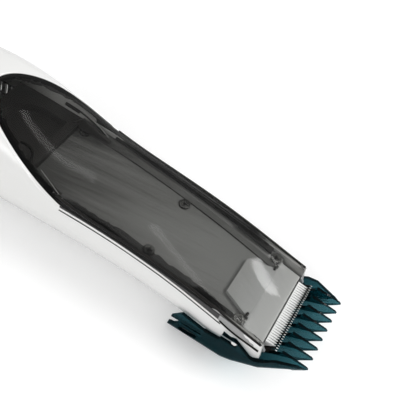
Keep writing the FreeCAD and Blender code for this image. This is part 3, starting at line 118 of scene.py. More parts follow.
def blendColour(tree, amount, colour, other):
    mix = tree.nodes.new("ShaderNodeMix")
    mix.data_type = "RGBA"
    tree.links.new(amount, mix.inputs["Factor"])
    tree.links.new(colour, mix.inputs[mixColours["first"]])
    mix.inputs[mixColours["second"]].default_value = (*other, 1)
    return mix.outputs[mixColours["result"]]


def oneAxis(tree, kind, axis):
    # One axis of the object's own place or normal
    whole = tree.nodes.new("ShaderNodeTexCoord")
    parts = tree.nodes.new("ShaderNodeSeparateXYZ")
    tree.links.new(whole.outputs[kind], parts.inputs["Vector"])
    return parts.outputs[axis]


def addGrain(tree, shader, look):
    # A fine grain that breaks up the gloss
    grain = objectPattern(tree, "ShaderNodeTexNoise", look["grainScale"], Detail=2.0)
    tree.links.new(spread(tree, grain.outputs["Fac"], *look["roughness"]), shader.inputs["Roughness"])
    bump = tree.nodes.new("ShaderNodeBump")
    bump.inputs["Strength"].default_value = 1.0
    bump.inputs["Distance"].default_value = look["grainDepth"]
    tree.links.new(grain.outputs["Fac"], bump.inputs["Height"])
    tree.links.new(bump.outputs["Normal"], shader.inputs["Normal"])


def mouldedPlastic(name, look):
    # Colour drifts with the melt's flow
    material, tree, shader = newFinish(name)
    flow = objectPattern(tree, "ShaderNodeTexNoise", look["flowScale"], look["flowStretch"], Detail=3.0)
    tree.links.new(tint(tree, flow.outputs["Fac"], look["colours"]), shader.inputs["Base Color"])
    addGrain(tree, shader, look)
    shader.inputs["Metallic"].default_value = look.get("metallic", 0.0)
    shader.inputs["Specular IOR Level"].default_value = look.get("specular", 0.5)
    shader.inputs["Coat Weight"].default_value = look.get("coat", 0.0)
    shader.inputs["Coat Roughness"].default_value = look.get("coatRoughness", 0.08)
    return material


plasticLooks = {
    "housingWhite": {
        "colours": [(0.80, 0.80, 0.785), (0.84, 0.84, 0.83)], "flowScale": 14, "flowStretch": (0.5, 1, 1),
        "grainScale": 1400, "grainDepth": 0.00001, "roughness": (0.20, 0.27), "coat": 0.25,
    },
    "filterBlack": {
        "colours": [(0.024, 0.022, 0.021), (0.038, 0.036, 0.034)], "flowScale": 30, "flowStretch": (1, 1, 1),
        "grainScale": 1500, "grainDepth": 0.000004, "roughness": (0.32, 0.42),
    },
    "cutterWhite": {
        "colours": [(0.80, 0.81, 0.80), (0.88, 0.88, 0.87)], "flowScale": 80, "flowStretch": (1, 1, 1),
        "grainScale": 2500, "grainDepth": 0.00001, "roughness": (0.3, 0.4),
    },
    "noseSmoke": {
        "colours": [(0.27, 0.27, 0.268), (0.33, 0.33, 0.328)], "flowScale": 40, "flowStretch": (0.3, 1, 1),
        "grainScale": 1600, "grainDepth": 0.000005, "roughness": (0.12, 0.2),
    },
    "sealRubber": {
        "colours": [(0.018, 0.018, 0.018), (0.03, 0.03, 0.03)], "flowScale": 60, "flowStretch": (1, 1, 1),
        "grainScale": 1200, "grainDepth": 0.00003, "roughness": (0.6, 0.75),
    },
    "gripRubber": {
        "colours": [(0.035, 0.036, 0.038), (0.055, 0.056, 0.058)], "flowScale": 40, "flowStretch": (1, 1, 1),
        "grainScale": 1000, "grainDepth": 0.00004, "roughness": (0.55, 0.7),
    },
    "screwBlack": {
        "colours": [(0.20, 0.20, 0.195), (0.30, 0.30, 0.295)], "flowScale": 300, "flowStretch": (1, 1, 1),
        "grainScale": 2400, "grainDepth": 0.00001, "roughness": (0.18, 0.28), "metallic": 1.0,
    },
    "bladeSteel": {
        "colours": [(0.50, 0.50, 0.49), (0.66, 0.66, 0.65)], "flowScale": 160, "flowStretch": (0.15, 3, 1),
        "grainScale": 2600, "grainDepth": 0.00001, "roughness": (0.24, 0.34), "metallic": 1.0,
    },
    "motorSteel": {
        "colours": [(0.42, 0.42, 0.42), (0.55, 0.55, 0.54)], "flowScale": 60, "flowStretch": (1, 1, 1),
        "grainScale": 1600, "grainDepth": 0.00001, "roughness": (0.3, 0.42), "metallic": 1.0,
    },
    "innerPlastic": {
        "colours": [(0.22, 0.23, 0.24), (0.30, 0.31, 0.32)], "flowScale": 40, "flowStretch": (1, 1, 1),
        "grainScale": 1400, "grainDepth": 0.00002, "roughness": (0.4, 0.5),
    },
    "cellSleeve": {
        "colours": [(0.05, 0.055, 0.06), (0.07, 0.075, 0.08)], "flowScale": 50, "flowStretch": (1, 1, 1),
        "grainScale": 1500, "grainDepth": 0.00001, "roughness": (0.25, 0.35),
    },
    "contactNickel": {
        "colours": [(0.60, 0.57, 0.50), (0.70, 0.67, 0.58)], "flowScale": 120, "flowStretch": (1, 1, 1),
        "grainScale": 2000, "grainDepth": 0.00001, "roughness": (0.25, 0.35), "metallic": 1.0,
    },
    "boardGreen": {
        "colours": [(0.015, 0.09, 0.04), (0.02, 0.12, 0.05)], "flowScale": 200, "flowStretch": (1, 1, 1),
        "grainScale": 1200, "grainDepth": 0.00001, "roughness": (0.3, 0.4),
    },
    "buttonSilver": {
        "colours": [(0.34, 0.35, 0.36), (0.40, 0.41, 0.42)], "flowScale": 60, "flowStretch": (1, 1, 1),
        "grainScale": 1800, "grainDepth": 0.00002, "roughness": (0.3, 0.38), "metallic": 0.6,
    },
    "deepBlack": {
        "colours": [(0.004, 0.004, 0.004), (0.010, 0.009, 0.008)], "flowScale": 160, "flowStretch": (1, 1, 1),
        "grainScale": 2600, "grainDepth": 0.000005, "roughness": (0.3, 0.4), "specular": 0.15,
    },
    # A white for painted highlights on thin edges
    "highlightWhite": {
        "colours": [(0.86, 0.86, 0.85), (0.90, 0.90, 0.89)], "flowScale": 30, "flowStretch": (1, 1, 1),
        "grainScale": 1600, "grainDepth": 0.000005, "roughness": (0.12, 0.18), "coat": 0.6,
    },
    "skirtSmoke": {
        "colours": [(0.014, 0.014, 0.014), (0.022, 0.022, 0.022)], "flowScale": 60, "flowStretch": (0.3, 1, 1),
        "grainScale": 1600, "grainDepth": 0.000005, "roughness": (0.10, 0.16),
    },
    "socketBlack": {
        "colours": [(0.016, 0.016, 0.016), (0.026, 0.026, 0.026)], "flowScale": 90, "flowStretch": (1, 1, 1),
        "grainScale": 1600, "grainDepth": 0.00002, "roughness": (0.35, 0.45),
    },
}
finishes = {name: mouldedPlastic(name, look) for name, look in plasticLooks.items()}


def paintedShadePlastic(name, look):
    # Painted shade that darkens the rear, with long faint painted reflections streaked across it
    material, tree, shader = newFinish(name)
    total = spread(tree, oneAxis(tree, "Object", "X"), 0.0, 1.0, *look["span"])
    # Each streak is a painted reflection, lighter and darker along the part
    for scale, stretch, turn, depth in look["paintedStreaks"]:
        paintedStreaks = objectPattern(tree, "ShaderNodeTexNoise", scale, stretch, turn, Detail=2.0)
        add = tree.nodes.new("ShaderNodeMath")
        add.operation = "ADD"
        tree.links.new(total, add.inputs[0])
        tree.links.new(spread(tree, paintedStreaks.outputs["Fac"], -depth, depth), add.inputs[1])
        total = add.outputs["Value"]
    tree.links.new(tint(tree, total, look["colours"], look["stops"]), shader.inputs["Base Color"])
    addGrain(tree, shader, look)
    return material


# The tray and the head both carry this painted shade and these painted reflections
paintedShadeLooks = {
    "trayGrey": {
        "span": (-0.036, 0.058), "stops": (0.0, 0.45, 1.0),
        "colours": [(0.12, 0.12, 0.117), (0.27, 0.27, 0.265), (0.38, 0.385, 0.38)],
        "paintedStreaks": [(22, (1, 16, 1), -12, 0.15), (10, (1, 6, 1), -22, 0.18), (40, (1, 26, 1), -7, 0.10)],
        "grainScale": 1800, "grainDepth": 0.00001, "roughness": (0.24, 0.36),
    },
    "headIvory": {
        "span": (0.062, 0.084), "stops": (0.0, 0.45, 1.0),
        "colours": [(0.66, 0.67, 0.665), (0.80, 0.815, 0.82), (0.97, 0.98, 0.98)],
        "paintedStreaks": [(25, (1, 0.5, 1), 0, 0.10), (60, (1, 8, 1), 30, 0.08)],
        "grainScale": 1600, "grainDepth": 0.00001, "roughness": (0.25, 0.35),
    },
}
finishes.update({name: paintedShadePlastic(name, look) for name, look in paintedShadeLooks.items()})


def letLampsPass(tree, surface, colour):
    # Shadow rays go through, so that what is behind the plastic stays lit
    ray = tree.nodes.new("ShaderNodeLightPath")
    lampClear = tree.nodes.new("ShaderNodeBsdfTransparent")
    lampClear.inputs["Color"].default_value = (*colour, 1)
    passing = tree.nodes.new("ShaderNodeMixShader")
    tree.links.new(ray.outputs["Is Shadow Ray"], passing.inputs["Fac"])
    tree.links.new(surface, passing.inputs[1])
    tree.links.new(lampClear.outputs["BSDF"], passing.inputs[2])
    tree.links.new(passing.outputs["Shader"], tree.nodes["Material Output"].inputs["Surface"])


def clearPlastic(name, look):
    # A tinted see-through shader under a gloss that grows towards grazing angles
    material, tree, shader = newFinish(name)
    flow = objectPattern(tree, "ShaderNodeTexNoise", look["flowScale"], look["flowStretch"], Detail=2.0)
    clear = tree.nodes.new("ShaderNodeBsdfTransparent")
    through = tint(tree, flow.outputs["Fac"], look["through"])
    body = tint(tree, flow.outputs["Fac"], look["colours"])
    if "band" in look:  # darker near the rim
        near = tree.nodes.new("ShaderNodeAttribute")
        near.attribute_name = look["band"]["attribute"]
        inBand = spread(tree, near.outputs["Fac"], 1.0, 0.0, *look["band"]["edge"])
        through = blendColour(tree, inBand, through, look["band"]["through"])
    if "fade" in look:  # darker towards the blades
        fade = look["fade"]
        thick = spread(tree, oneAxis(tree, "Object", "X"), fade["amount"], 0.0, *fade["span"])
        through = blendColour(tree, thick, through, fade["through"])
        body = blendColour(tree, thick, body, fade["colour"])
    if "crest" in look:  # darker where it looks up, as the edge of a clear moulding is
        crest = look["crest"]
        onCrest = spread(tree, oneAxis(tree, "Normal", "Z"), 0.0, 1.0, *crest["edge"])
        through = blendColour(tree, onCrest, through, crest["through"])
        body = blendColour(tree, onCrest, body, crest["colour"])
    tree.links.new(through, clear.inputs["Color"])
    tree.links.new(body, shader.inputs["Base Color"])
    scuffs = objectPattern(tree, "ShaderNodeTexNoise", look["scuffScale"], look["scuffStretch"], Detail=4.0)
    tree.links.new(spread(tree, scuffs.outputs["Fac"], *look["roughness"]), shader.inputs["Roughness"])
    shader.inputs["Specular IOR Level"].default_value = look.get("specular", 0.5)
    shader.inputs["IOR"].default_value = look.get("index", 1.5)
    # The same from inside and outside, which a plain Fresnel isn't
    edge = tree.nodes.new("ShaderNodeLayerWeight")
    steep = tree.nodes.new("ShaderNodeMath")
    steep.operation = "POWER"
    steep.inputs[1].default_value = look["edgePower"]
    tree.links.new(edge.outputs["Facing"], steep.inputs[0])
    mix = tree.nodes.new("ShaderNodeMixShader")
    tree.links.new(spread(tree, steep.outputs["Value"], *look["body"], 0.0, 1.0), mix.inputs["Fac"])
    tree.links.new(clear.outputs["BSDF"], mix.inputs[1])
    tree.links.new(shader.outputs["BSDF"], mix.inputs[2])
    letLampsPass(tree, mix.outputs["Shader"], look["lampThrough"])
    return material


clearLooks = {
    "lidSmoke": {
        "through": [(0.70, 0.70, 0.69), (0.74, 0.74, 0.73)],
        "colours": [(0.02, 0.02, 0.02), (0.03, 0.03, 0.03)],
        "flowScale": 18, "flowStretch": (0.5, 1, 1), "scuffScale": 60, "scuffStretch": (0.2, 3, 3),
        "roughness": (0.02, 0.06), "edgePower": 3.0, "body": (0.045, 1.0), "lampThrough": (0.92, 0.92, 0.92),
        "index": 2.0,
        "band": {"attribute": "rimGap", "edge": (2.3, 2.7), "through": (0.20, 0.20, 0.20)},
    },
    "combTeal": {
        "through": [(0.25, 0.46, 0.50), (0.31, 0.52, 0.56)],
        "colours": [(0.002, 0.05, 0.065), (0.006, 0.075, 0.09)],
        "flowScale": 40, "flowStretch": (1, 1, 1), "scuffScale": 200, "scuffStretch": (1, 1, 1),
        "roughness": (0.08, 0.14), "edgePower": 3.0, "body": (0.30, 1.0), "lampThrough": (0.86, 0.92, 0.93),
        "crest": {"edge": (0.55, 0.75), "through": (0.03, 0.07, 0.08), "colour": (0.0, 0.006, 0.008)},
        "fade": {
            "span": (0.086, 0.100), "amount": 0.62, "through": (0.08, 0.20, 0.23),
            "colour": (0.001, 0.018, 0.025),
        },
        "specular": 0.12,
    },
    "lightPipe": {
        "through": [(0.7, 0.75, 0.75), (0.8, 0.85, 0.85)],
        "colours": [(0.6, 0.65, 0.65), (0.7, 0.75, 0.75)],
        "flowScale": 80, "flowStretch": (1, 1, 1), "scuffScale": 300, "scuffStretch": (1, 1, 1),
        "roughness": (0.15, 0.22), "edgePower": 3.0, "body": (0.4, 1.0), "lampThrough": (0.95, 0.95, 0.95),
    },
}
finishes.update({name: clearPlastic(name, look) for name, look in clearLooks.items()})
finishOfSlot = {
    "housing_white": "housingWhite", "lid_smoke": "lidSmoke", "chamber_grey": "trayGrey",
    "seal_rubber": "sealRubber", "filter_black": "filterBlack", "filter_mesh": "filterBlack",
    "head_ivory": "headIvory", "comb_teal": "combTeal", "grip_rubber": "gripRubber",
    "blade_steel": "bladeSteel", "cutter_white": "cutterWhite", "screw_black": "screwBlack",
    "motor_steel": "motorSteel", "inner_plastic": "innerPlastic", "cell_sleeve": "cellSleeve",
    "contact_nickel": "contactNickel", "board_green": "boardGreen", "button_silver": "buttonSilver",
    "light_clear": "lightPipe", "socket_black": "socketBlack",
}
print("finishes:", len(finishes))


# CAD nodes that stay, and smoothed copies of the ones whose edges show

def dress(node, material):
    mesh = frame["nodes"][node].data
    mesh.materials.clear()
    mesh.materials.append(material)


copying = {
    "merge": 0.000002, "cut": 0.000001, "flatWithin": 0.6, "crease": 32.0,
    "bevelSegments": 2, "bevelFrom": 40,
}


def mergedForm(node):
    form = bmesh.new()
    form.from_mesh(frame["nodes"][node].data)
    bmesh.ops.remove_doubles(form, verts=form.verts, dist=copying["merge"])
    return form


def cutThrough(form, place, direction, **clearing):
    whole = form.verts[:] + form.edges[:] + form.faces[:]
    return bmesh.ops.bisect_plane(form, geom=whole, dist=copying["cut"], plane_co=place, plane_no=direction,
                                  **clearing)


def smoothedCopy(node, name, bevel):
    form = mergedForm(node)
    flat = math.radians(copying["flatWithin"])
    bmesh.ops.dissolve_limit(form, angle_limit=flat, verts=form.verts, edges=form.edges)
    limit = math.radians(copying["crease"])
    for face in form.faces:
        face.smooth = True
    for edge in form.edges:
        edge.smooth = len(edge.link_faces) == 2 and edge.calc_face_angle(math.pi) < limit
    mesh = bpy.data.meshes.new(name)
    form.to_mesh(mesh)
    form.free()
    piece = bpy.data.objects.new(name, mesh)
    bpy.context.scene.collection.objects.link(piece)
    mesh.materials.append(finishes[finishOfSlot[slotOfNode[node]]])
    if bevel:
        rounding = piece.modifiers.new("rounding", "BEVEL")
        rounding.width = bevel
        rounding.segments = copying["bevelSegments"]
        rounding.limit_method = "ANGLE"
        rounding.angle_limit = math.radians(copying["bevelFrom"])
        rounding.harden_normals = True
    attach(piece, bodyOfNode[node])
    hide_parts(node)
    return piece


for node, slot in slotOfNode.items():
    dress(node, finishes[finishOfSlot[slot]])
dress("blade_holder", finishes["innerPlastic"])  # darker than the cutter on it

copiedNodes = {
    "lower_housing": ("bodyLower", 0.0), "upper_housing": ("bodyUpper", 0.0),
    "chamber_lid": ("lidShell", 0.0), "chamber_tray": ("chamberTray", 0.0),
    "rear_cap": ("rearCap", 0.0), "guide_comb": ("guideComb", 0.0),
    "filter_frame": ("filterFrame", 0.0), "head_cover": ("headRamp", 0.0),
    "power_button": ("powerButton", 0.0), "tray_screws": ("trayScrews", 0.00018),
}
copies = {node: smoothedCopy(node, name, bevel) for node, (name, bevel) in copiedNodes.items()}
print("copies:", len(copies))


# Finer points on the comb's tines, since the moulded tips are sharper than the plain ones

tineTips = {
    "point": 0.0196, "fineFrom": 0.0034, "reach": 0.0215, "pitch": 0.00539, "narrow": 0.62,
    "flatFrom": 0.0016, "flatten": 0.7,
}


def sharpenTines(piece, values):
    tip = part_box("guide_comb")[1][0]
    for vertex in piece.data.vertices:
        place = vertex.co
        if place.x > tip - values["fineFrom"] and abs(place.y) < values["reach"]:
            share = (place.x - tip + values["fineFrom"]) / values["fineFrom"]
            middle = (math.floor(place.y / values["pitch"]) + 0.5) * values["pitch"]
            place.y = middle + (place.y - middle) * (1 - values["narrow"] * share)
        if place.x > tip - values["flatFrom"]:
            share = (place.x - tip + values["flatFrom"]) / values["flatFrom"]
            place.z = values["point"] + (place.z - values["point"]) * (1 - values["flatten"] * share)


sharpenTines(copies["guide_comb"], tineTips)


# Lines along the lid, measured from the top corner of its front edge

lidLow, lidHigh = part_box("chamber_lid")
noseRise = 0.0034  # from the fixed blade's top
noseTop = Vector((lidHigh[0], 0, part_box("fixed_blade")[1][2] + noseRise))


def fromNose(x, y, z):
    return noseTop + Vector((x, y, z)) * mm


def bodySurface(*nodes):
    form = bmesh.new()
    for node in nodes:
        form.from_mesh(frame["nodes"][node].data)
    return BVHTree.FromBMesh(form)


shellSurface = bodySurface("chamber_lid", "upper_housing", "lower_housing")
lidSurface = bodySurface("chamber_lid")
insideSurface = bodySurface("chamber_tray", "head_cover", "filter_frame")


probing = {"side": 40, "above": 60, "rises": (-0.4, 0, 0.4), "missed": 0.7}
down = Vector((0, 0, -1))


def between(table, x):
    # A height read off a short list of places and heights
    for (x0, z0), (x1, z1) in zip(table, table[1:]):
        if x0 <= x <= x1:
            return z0 + (z1 - z0) * (x - x0) / (x1 - x0)
    return table[0][1] if x < table[0][0] else table[-1][1]


def onSide(x, z, side, proud=0.0):
    # Three rays, since one alone may run into the split between two parts
    start = fromNose(x, side * probing["side"], z)
    hits = [shellSurface.ray_cast(start + Vector((0, 0, rise * mm)), Vector((0, -side, 0)))[0]
            for rise in probing["rises"]]
    reach = max((side * hit.y for hit in hits if hit), default=lidHigh[1] - probing["missed"] * mm)
    return Vector((start.x, side * (reach + proud * mm), start.z))


def onTop(surface, x, y, proud=0.0):
    hit, normal = surface.ray_cast(fromNose(x, y, probing["above"]), down)[:2]
    return hit + normal * proud * mm


def newPiece(name, mesh, body, finish):
    mesh.materials.append(finishes[finish])
    piece = bpy.data.objects.new(name, mesh)
    bpy.context.scene.collection.objects.link(piece)
    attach(piece, body)
    return piece


tubeShape = {"roundness": 2, "order": 3, "steps": 3}


def tubes(name, paths, radius, body, finish):
    # Round bars along smooth paths, made into one mesh
    curve = bpy.data.curves.new(name, "CURVE")
    curve.dimensions = "3D"
    curve.bevel_depth = radius * mm
    curve.bevel_resolution = tubeShape["roundness"]
    curve.use_fill_caps = True
    for path in paths:
        line = curve.splines.new("NURBS")
        line.points.add(len(path) - 1)
        for point, place in zip(line.points, path):
            point.co = (*place, 1)
            point.radius = 1.0
        line.order_u = tubeShape["order"]
        line.use_endpoint_u = True
        line.resolution_u = tubeShape["steps"]
    holder = bpy.data.objects.new(name, curve)
    mesh = bpy.data.meshes.new_from_object(holder)
    bpy.data.objects.remove(holder)
    for polygon in mesh.polygons:
        polygon.use_smooth = True
    return newPiece(name, mesh, body, finish)


lidLines = {
    # Where the split line runs on the housing's side, behind and below the nose's top
    "split": [(-97, 7.5), (-87, 7.5), (-77.6, 7.2), (-68, 6.6), (-58.5, 5.5), (-48.8, 4.3), (-38.9, 2.6),
              (-28.9, 0.4), (-18.8, -1.8)],
    # Where the lid's own lower edge runs
    "seam": [(-97, 10.0), (-87, 9.7), (-77.6, 9.2), (-68, 8.5), (-58.5, 7.7), (-48.8, 6.8), (-38.9, 5.7),
             (-28.9, 4.4), (-18.8, 2.9), (-9, 1.3), (-0.3, 0.0)],
    "step": 3.0, "splitRadius": 0.30, "highlightRise": 1.15, "highlightRadius": 0.36, "highlightSink": 0.12,
    "archOut": 0.9, "archStart": -94.0, "archAngles": (14, 166, 5),
}


def evenSteps(start, end, step):
    # Places from start to end, as near to the step apart as fits evenly
    count = round(abs(end - start) / step)
    return [start + (end - start) * i / count for i in range(count + 1)]


def archPoints(values, proud):
    # Just outside the lid's outline from above, round its rear end
    halfWidth = (lidHigh[1] - lidLow[1]) / 2 / mm
    rear = (lidLow[0] - noseTop.x) / mm
    points = []
    for angle in evenSteps(*values["archAngles"]):
        turn = math.radians(angle)
        x = values["archStart"] - (values["archStart"] - rear + values["archOut"]) * math.sin(turn)
        y = -(halfWidth + values["archOut"]) * math.cos(turn)
        points.append(onTop(shellSurface, x, y, proud))
    return points


sideSteps = evenSteps(lidLines["split"][-1][0], lidLines["split"][0][0], lidLines["step"])
splitPaths = [[onSide(x, between(lidLines["split"], x), side) for x in sideSteps] for side in (-1, 1)]
tubes("splitLine", splitPaths, lidLines["splitRadius"], "housing", "socketBlack")
# A white tube just under the lid's lower edge and round its rear end: a painted highlight on the lid's lip
sideHighlights = [
    [onSide(x, between(lidLines["split"], x) + lidLines["highlightRise"], side, -lidLines["highlightSink"])
     for x in sideSteps] for side in (-1, 1)
]
highlightPath = sideHighlights[0] + archPoints(lidLines, -lidLines["highlightSink"]) + sideHighlights[1][::-1]
tubes("rimHighlight", [highlightPath], lidLines["highlightRadius"], "housing", "highlightWhite")


# Strips below the lid, down to its lower line, and the black line under its nose

skirts = {
    "wall": 0.22, "overSeam": 0.25, "leastHeight": 0.6,
    "sideEnds": (-19, -97), "sideRise": 1.75, "sideProud": 0.03,
    "sideFront": [(-16.0, -0.5), (-8.0, -0.5), (-0.3, -0.3)],
    "noseEnds": (-0.3, -20.5), "noseProud": 0.12, "lineProud": 0.25, "lineRadius": 0.45,
    "noseEdge": [(-19.6, 0.2), (-16.0, -1.2), (-12.5, -2.0), (-9.0, -2.6), (-5.6, -3.0), (-2.7, -3.4),
                 (-0.3, -3.8)],
}


def buildSkirt(name, values, table, ends, proud, finish):
    # A strip on each side of the lid, from a low line up to the lid itself
    form = bmesh.new()
    for side in (-1, 1):
        low = []
        for x in evenSteps(*ends, lidLines["step"]):
            low.append(form.verts.new(onSide(x, between(table, x), side, proud)))
        edges = [form.edges.new(pair) for pair in zip(low, low[1:])]
        raised = bmesh.ops.extrude_edge_only(form, edges=edges)["geom"]
        for vertex in [v for v in raised if isinstance(v, bmesh.types.BMVert)]:
            x = (vertex.co.x - noseTop.x) / mm
            top = max(between(lidLines["seam"], x) + values["overSeam"],
                      between(table, x) + values["leastHeight"])
            vertex.co = onSide(x, top, side, proud)
    # The extrusion leaves its edges and faces in a chance order
    rank = Vector((1, 10, 100))
    for parts in (form.edges, form.faces):
        parts.sort(key=lambda part: sum(vertex.co.dot(rank) for vertex in part.verts))
    bmesh.ops.recalc_face_normals(form, faces=form.faces)
    mesh = bpy.data.meshes.new(name)
    form.to_mesh(mesh)
    form.free()
    piece = newPiece(name, mesh, "lid", finish)
    wall = piece.modifiers.new("wall", "SOLIDIFY")
    wall.thickness = values["wall"] * mm
    wall.offset = 0


skirtTable = [(x, z + skirts["sideRise"]) for x, z in lidLines["split"]] + skirts["sideFront"]
buildSkirt("lidSkirt", skirts, skirtTable, skirts["sideEnds"], skirts["sideProud"], "skirtSmoke")
buildSkirt("lidNose", skirts, skirts["noseEdge"], skirts["noseEnds"], skirts["noseProud"], "noseSmoke")
nosePaths = [[onSide(x, z, side, skirts["lineProud"]) for x, z in skirts["noseEdge"]] for side in (-1, 1)]


# Dark lines along the lid's shoulders

shoulders = {
    "ends": (-0.5, -100.0), "slope": 40, "depth": 0.22, "radius": 0.55,
    "inset": 0.1, "innermost": 12, "stride": 0.1,
}


def shoulderPath(values, side):
    # Half sunk in the lid, where its outside turns up past a given slope
    lift = math.sin(math.radians(values["slope"]))
    outermost = lidHigh[1] / mm - values["inset"]
    path = []
    for x in evenSteps(*values["ends"], lidLines["step"]):
        for y in evenSteps(outermost, values["innermost"], values["stride"]):
            hit, normal = lidSurface.ray_cast(fromNose(x, side * y, probing["above"]), down)[:2]
            if hit and normal.z > lift:
                path.append(hit - normal * values["depth"] * mm)
                break
    return path


shoulderPaths = [shoulderPath(shoulders, side) for side in (-1, 1)]
tubes("lidEdges", shoulderPaths, shoulders["radius"], "lid", "deepBlack")
tubes("noseLine", nosePaths, skirts["lineRadius"], "lid", "deepBlack")
print("lid lines:", len(highlightPath), "points round the rim")


# The lid's darker band along its rim

lidBand = {
    "slicesAlong": (-146, -2, 3), "slicesAcross": (-21, 21, 3), "rimAngle": 38, "frontEdge": 0.3,
    "spacing": 0.4, "fadesFrom": -27.0, "fadeRate": 0.35,
    "smoothFrom": 0.9, "frontKept": 3.0, "rounds": 24,
}


def rimPlaces(form, values, front):
    # Close marks along the lid's sharp edges, without its front one
    sharp = math.radians(values["rimAngle"])
    places = []
    for edge in form.edges:
        if len(edge.link_faces) != 2 or edge.calc_face_angle(0) <= sharp:
            continue
        a, b = (vertex.co for vertex in edge.verts)
        if min(a.x, b.x) < front:
            count = max(1, round((a - b).length / (values["spacing"] * mm)))
            places += [a.lerp(b, i / count) for i in range(count + 1)]
    return places


def bandOnLid(piece, values):
    # Slices the lid fine enough, then notes each vertex's distance from its rim
    form = bmesh.new()
    form.from_mesh(piece.data)
    for x in evenSteps(*values["slicesAlong"]):
        cutThrough(form, fromNose(x, 0, 0), (1, 0, 0))
    for y in evenSteps(*values["slicesAcross"]):
        cutThrough(form, fromNose(0, y, 0), (0, 1, 0))
    front = lidHigh[0] - values["frontEdge"] * mm
    places = rimPlaces(form, values, front)
    near = KDTree(len(places))
    for i, place in enumerate(places):
        near.insert(place, i)
    near.balance()
    gap = form.verts.layers.float.new("rimGap")
    for vertex in form.verts:
        forward = max(0.0, (vertex.co.x - noseTop.x) / mm - values["fadesFrom"])
        vertex[gap] = near.find(vertex.co)[2] / mm + forward * values["fadeRate"]
    # Flat facets from the cuts would show as ripples in the gloss
    inner = [vertex for vertex in form.verts
             if vertex[gap] > values["smoothFrom"] and vertex.co.x < front - values["frontKept"] * mm]
    for _ in range(values["rounds"]):
        bmesh.ops.smooth_vert(form, verts=inner, factor=0.5, use_axis_x=True, use_axis_y=True, use_axis_z=True)
    form.to_mesh(piece.data)
    form.free()


bandOnLid(copies["chamber_lid"], lidBand)
print("lid band:", len(copies["chamber_lid"].data.vertices), "vertices")


# Catches under the lid: black tubes as painted shade in the slots beside the head, and hooks beside the filter

catches = {
    "slots": [[(-11.5, -13.2), (-12.0, -19.4)], [(-11.5, 13.2), (-12.0, 19.4)]],
    "slotRadius": 0.6, "slotProud": 0.3, "hookRadius": 0.75,
    "hooks": [
        [(-128.0, -8.4, 11), (-125.6, -7.6, 11), (-121.4, -9.2, 11), (-119.6, -12.2, 11), (-119.0, -15.0, 11)],
        [(-126.8, 22.0, 12), (-123.0, 21.9, 12), (-119.3, 21.7, 12)],
    ],
}
# The slots' black is painted shade inside them
slotShadePaths = [[onTop(insideSurface, x, y, catches["slotProud"]) for x, y in path] for path in catches["slots"]]
tubes("headSlotShade", slotShadePaths, catches["slotRadius"], "housing", "socketBlack")
hookPaths = [[fromNose(*place) for place in path] for path in catches["hooks"]]
tubes("filterHooks", hookPaths, catches["hookRadius"], "housing", "deepBlack")


# Painted shade on the tray's screws: black tubes in each head's cross recess and in the gap round each head

screwMarks = {
    "places": [(-13.5, 18.6), (-59.0, 15.2), (-113.5, 18.8)], "ring": 2.05, "ringRadius": 0.4,
    "ringAngles": (0, 360, 20), "cross": 1.15, "crossRadius": 0.3, "crossAngles": (20, 110),
}
screwTops = bodySurface("tray_screws")


def around(centre, radius, angle):
    turn = math.radians(angle)
    return centre + Vector((math.cos(turn), math.sin(turn), 0)) * radius * mm


heads = [onTop(screwTops, x, side * y) for x, y in screwMarks["places"] for side in (-1, 1)]
rings = [[around(head, screwMarks["ring"], angle) for angle in evenSteps(*screwMarks["ringAngles"])]
         for head in heads]
# A black tube round each head, painted shade in the gap there
tubes("screwRingShade", rings, screwMarks["ringRadius"], "housing", "deepBlack")
crosses = [[around(head, screwMarks["cross"], angle + turn) for turn in (0, 180)]
           for head in heads for angle in screwMarks["crossAngles"]]
tubes("screwCrossShade", crosses, screwMarks["crossRadius"], "housing", "deepBlack")
print("screw heads:", len(heads))


# Lines in the chamber: painted shade along the joint of floor and walls, dark lines along the filter's fins,
# and painted highlights on the fins' top edges

chamberLines = {
    "joint": (-112.0, -14.0, 4.0), "drop": 4.5, "creaseShadeRadius": 0.34,
    "wallFoot": 18, "wallLean": 0.5, "leanFrom": 3.3,
    "fins": [[(-119.0, -15.0, 11), (-112.4, -16.6, 10.6), (-105.2, -19.2, 10), (-99.0, -21.6, 9.4)],
             [(-119.3, 21.7, 12.6), (-110.0, 21.9, 10.8), (-101.5, 21.5, 6.6)]], "finRadius": 0.32,
    "edges": [[(-113.0, -15.2, 11), (-105.6, -18.2, 10.6), (-100.5, -20.2, 10)],
              [(-118.5, 21.4, 14.2), (-108.5, 21.5, 11.8), (-101.3, 21.1, 7.2)]], "finHighlightRadius": 0.13,
}


def creaseShadePath(values, side):
    path = []
    for x in evenSteps(*values["joint"]):
        z = between(lidLines["seam"], x) - values["drop"]
        y = values["wallFoot"] + values["wallLean"] * (z - values["leanFrom"])
        path.append(fromNose(x, side * y, z))
    return path


# Black tubes in the crease of floor and walls, as painted shade there
creaseShadePaths = [creaseShadePath(chamberLines, side) for side in (-1, 1)]
tubes("trayCreaseShade", creaseShadePaths, chamberLines["creaseShadeRadius"], "housing", "socketBlack")
finPaths = [[fromNose(*place) for place in path] for path in chamberLines["fins"]]
tubes("filterFins", finPaths, chamberLines["finRadius"], "housing", "socketBlack")
# Thin white tubes along the fins' top edges are painted highlights
finHighlightPaths = [[fromNose(*place) for place in path] for path in chamberLines["edges"]]
tubes("finHighlights", finHighlightPaths, chamberLines["finHighlightRadius"], "housing", "highlightWhite")
print("chamber lines:", len(creaseShadePaths) + len(finPaths) + len(finHighlightPaths))


# The two blades' teeth, in the slanting frame of the blades' cutting edge

cuttingEdge = {"place": (89.4, 0, 19.6), "slope": 38.0}
tilt = math.radians(cuttingEdge["slope"])
bladeAlong = Vector((math.cos(tilt), 0, math.sin(tilt)))
bladeUp = Vector((-math.sin(tilt), 0, math.cos(tilt)))


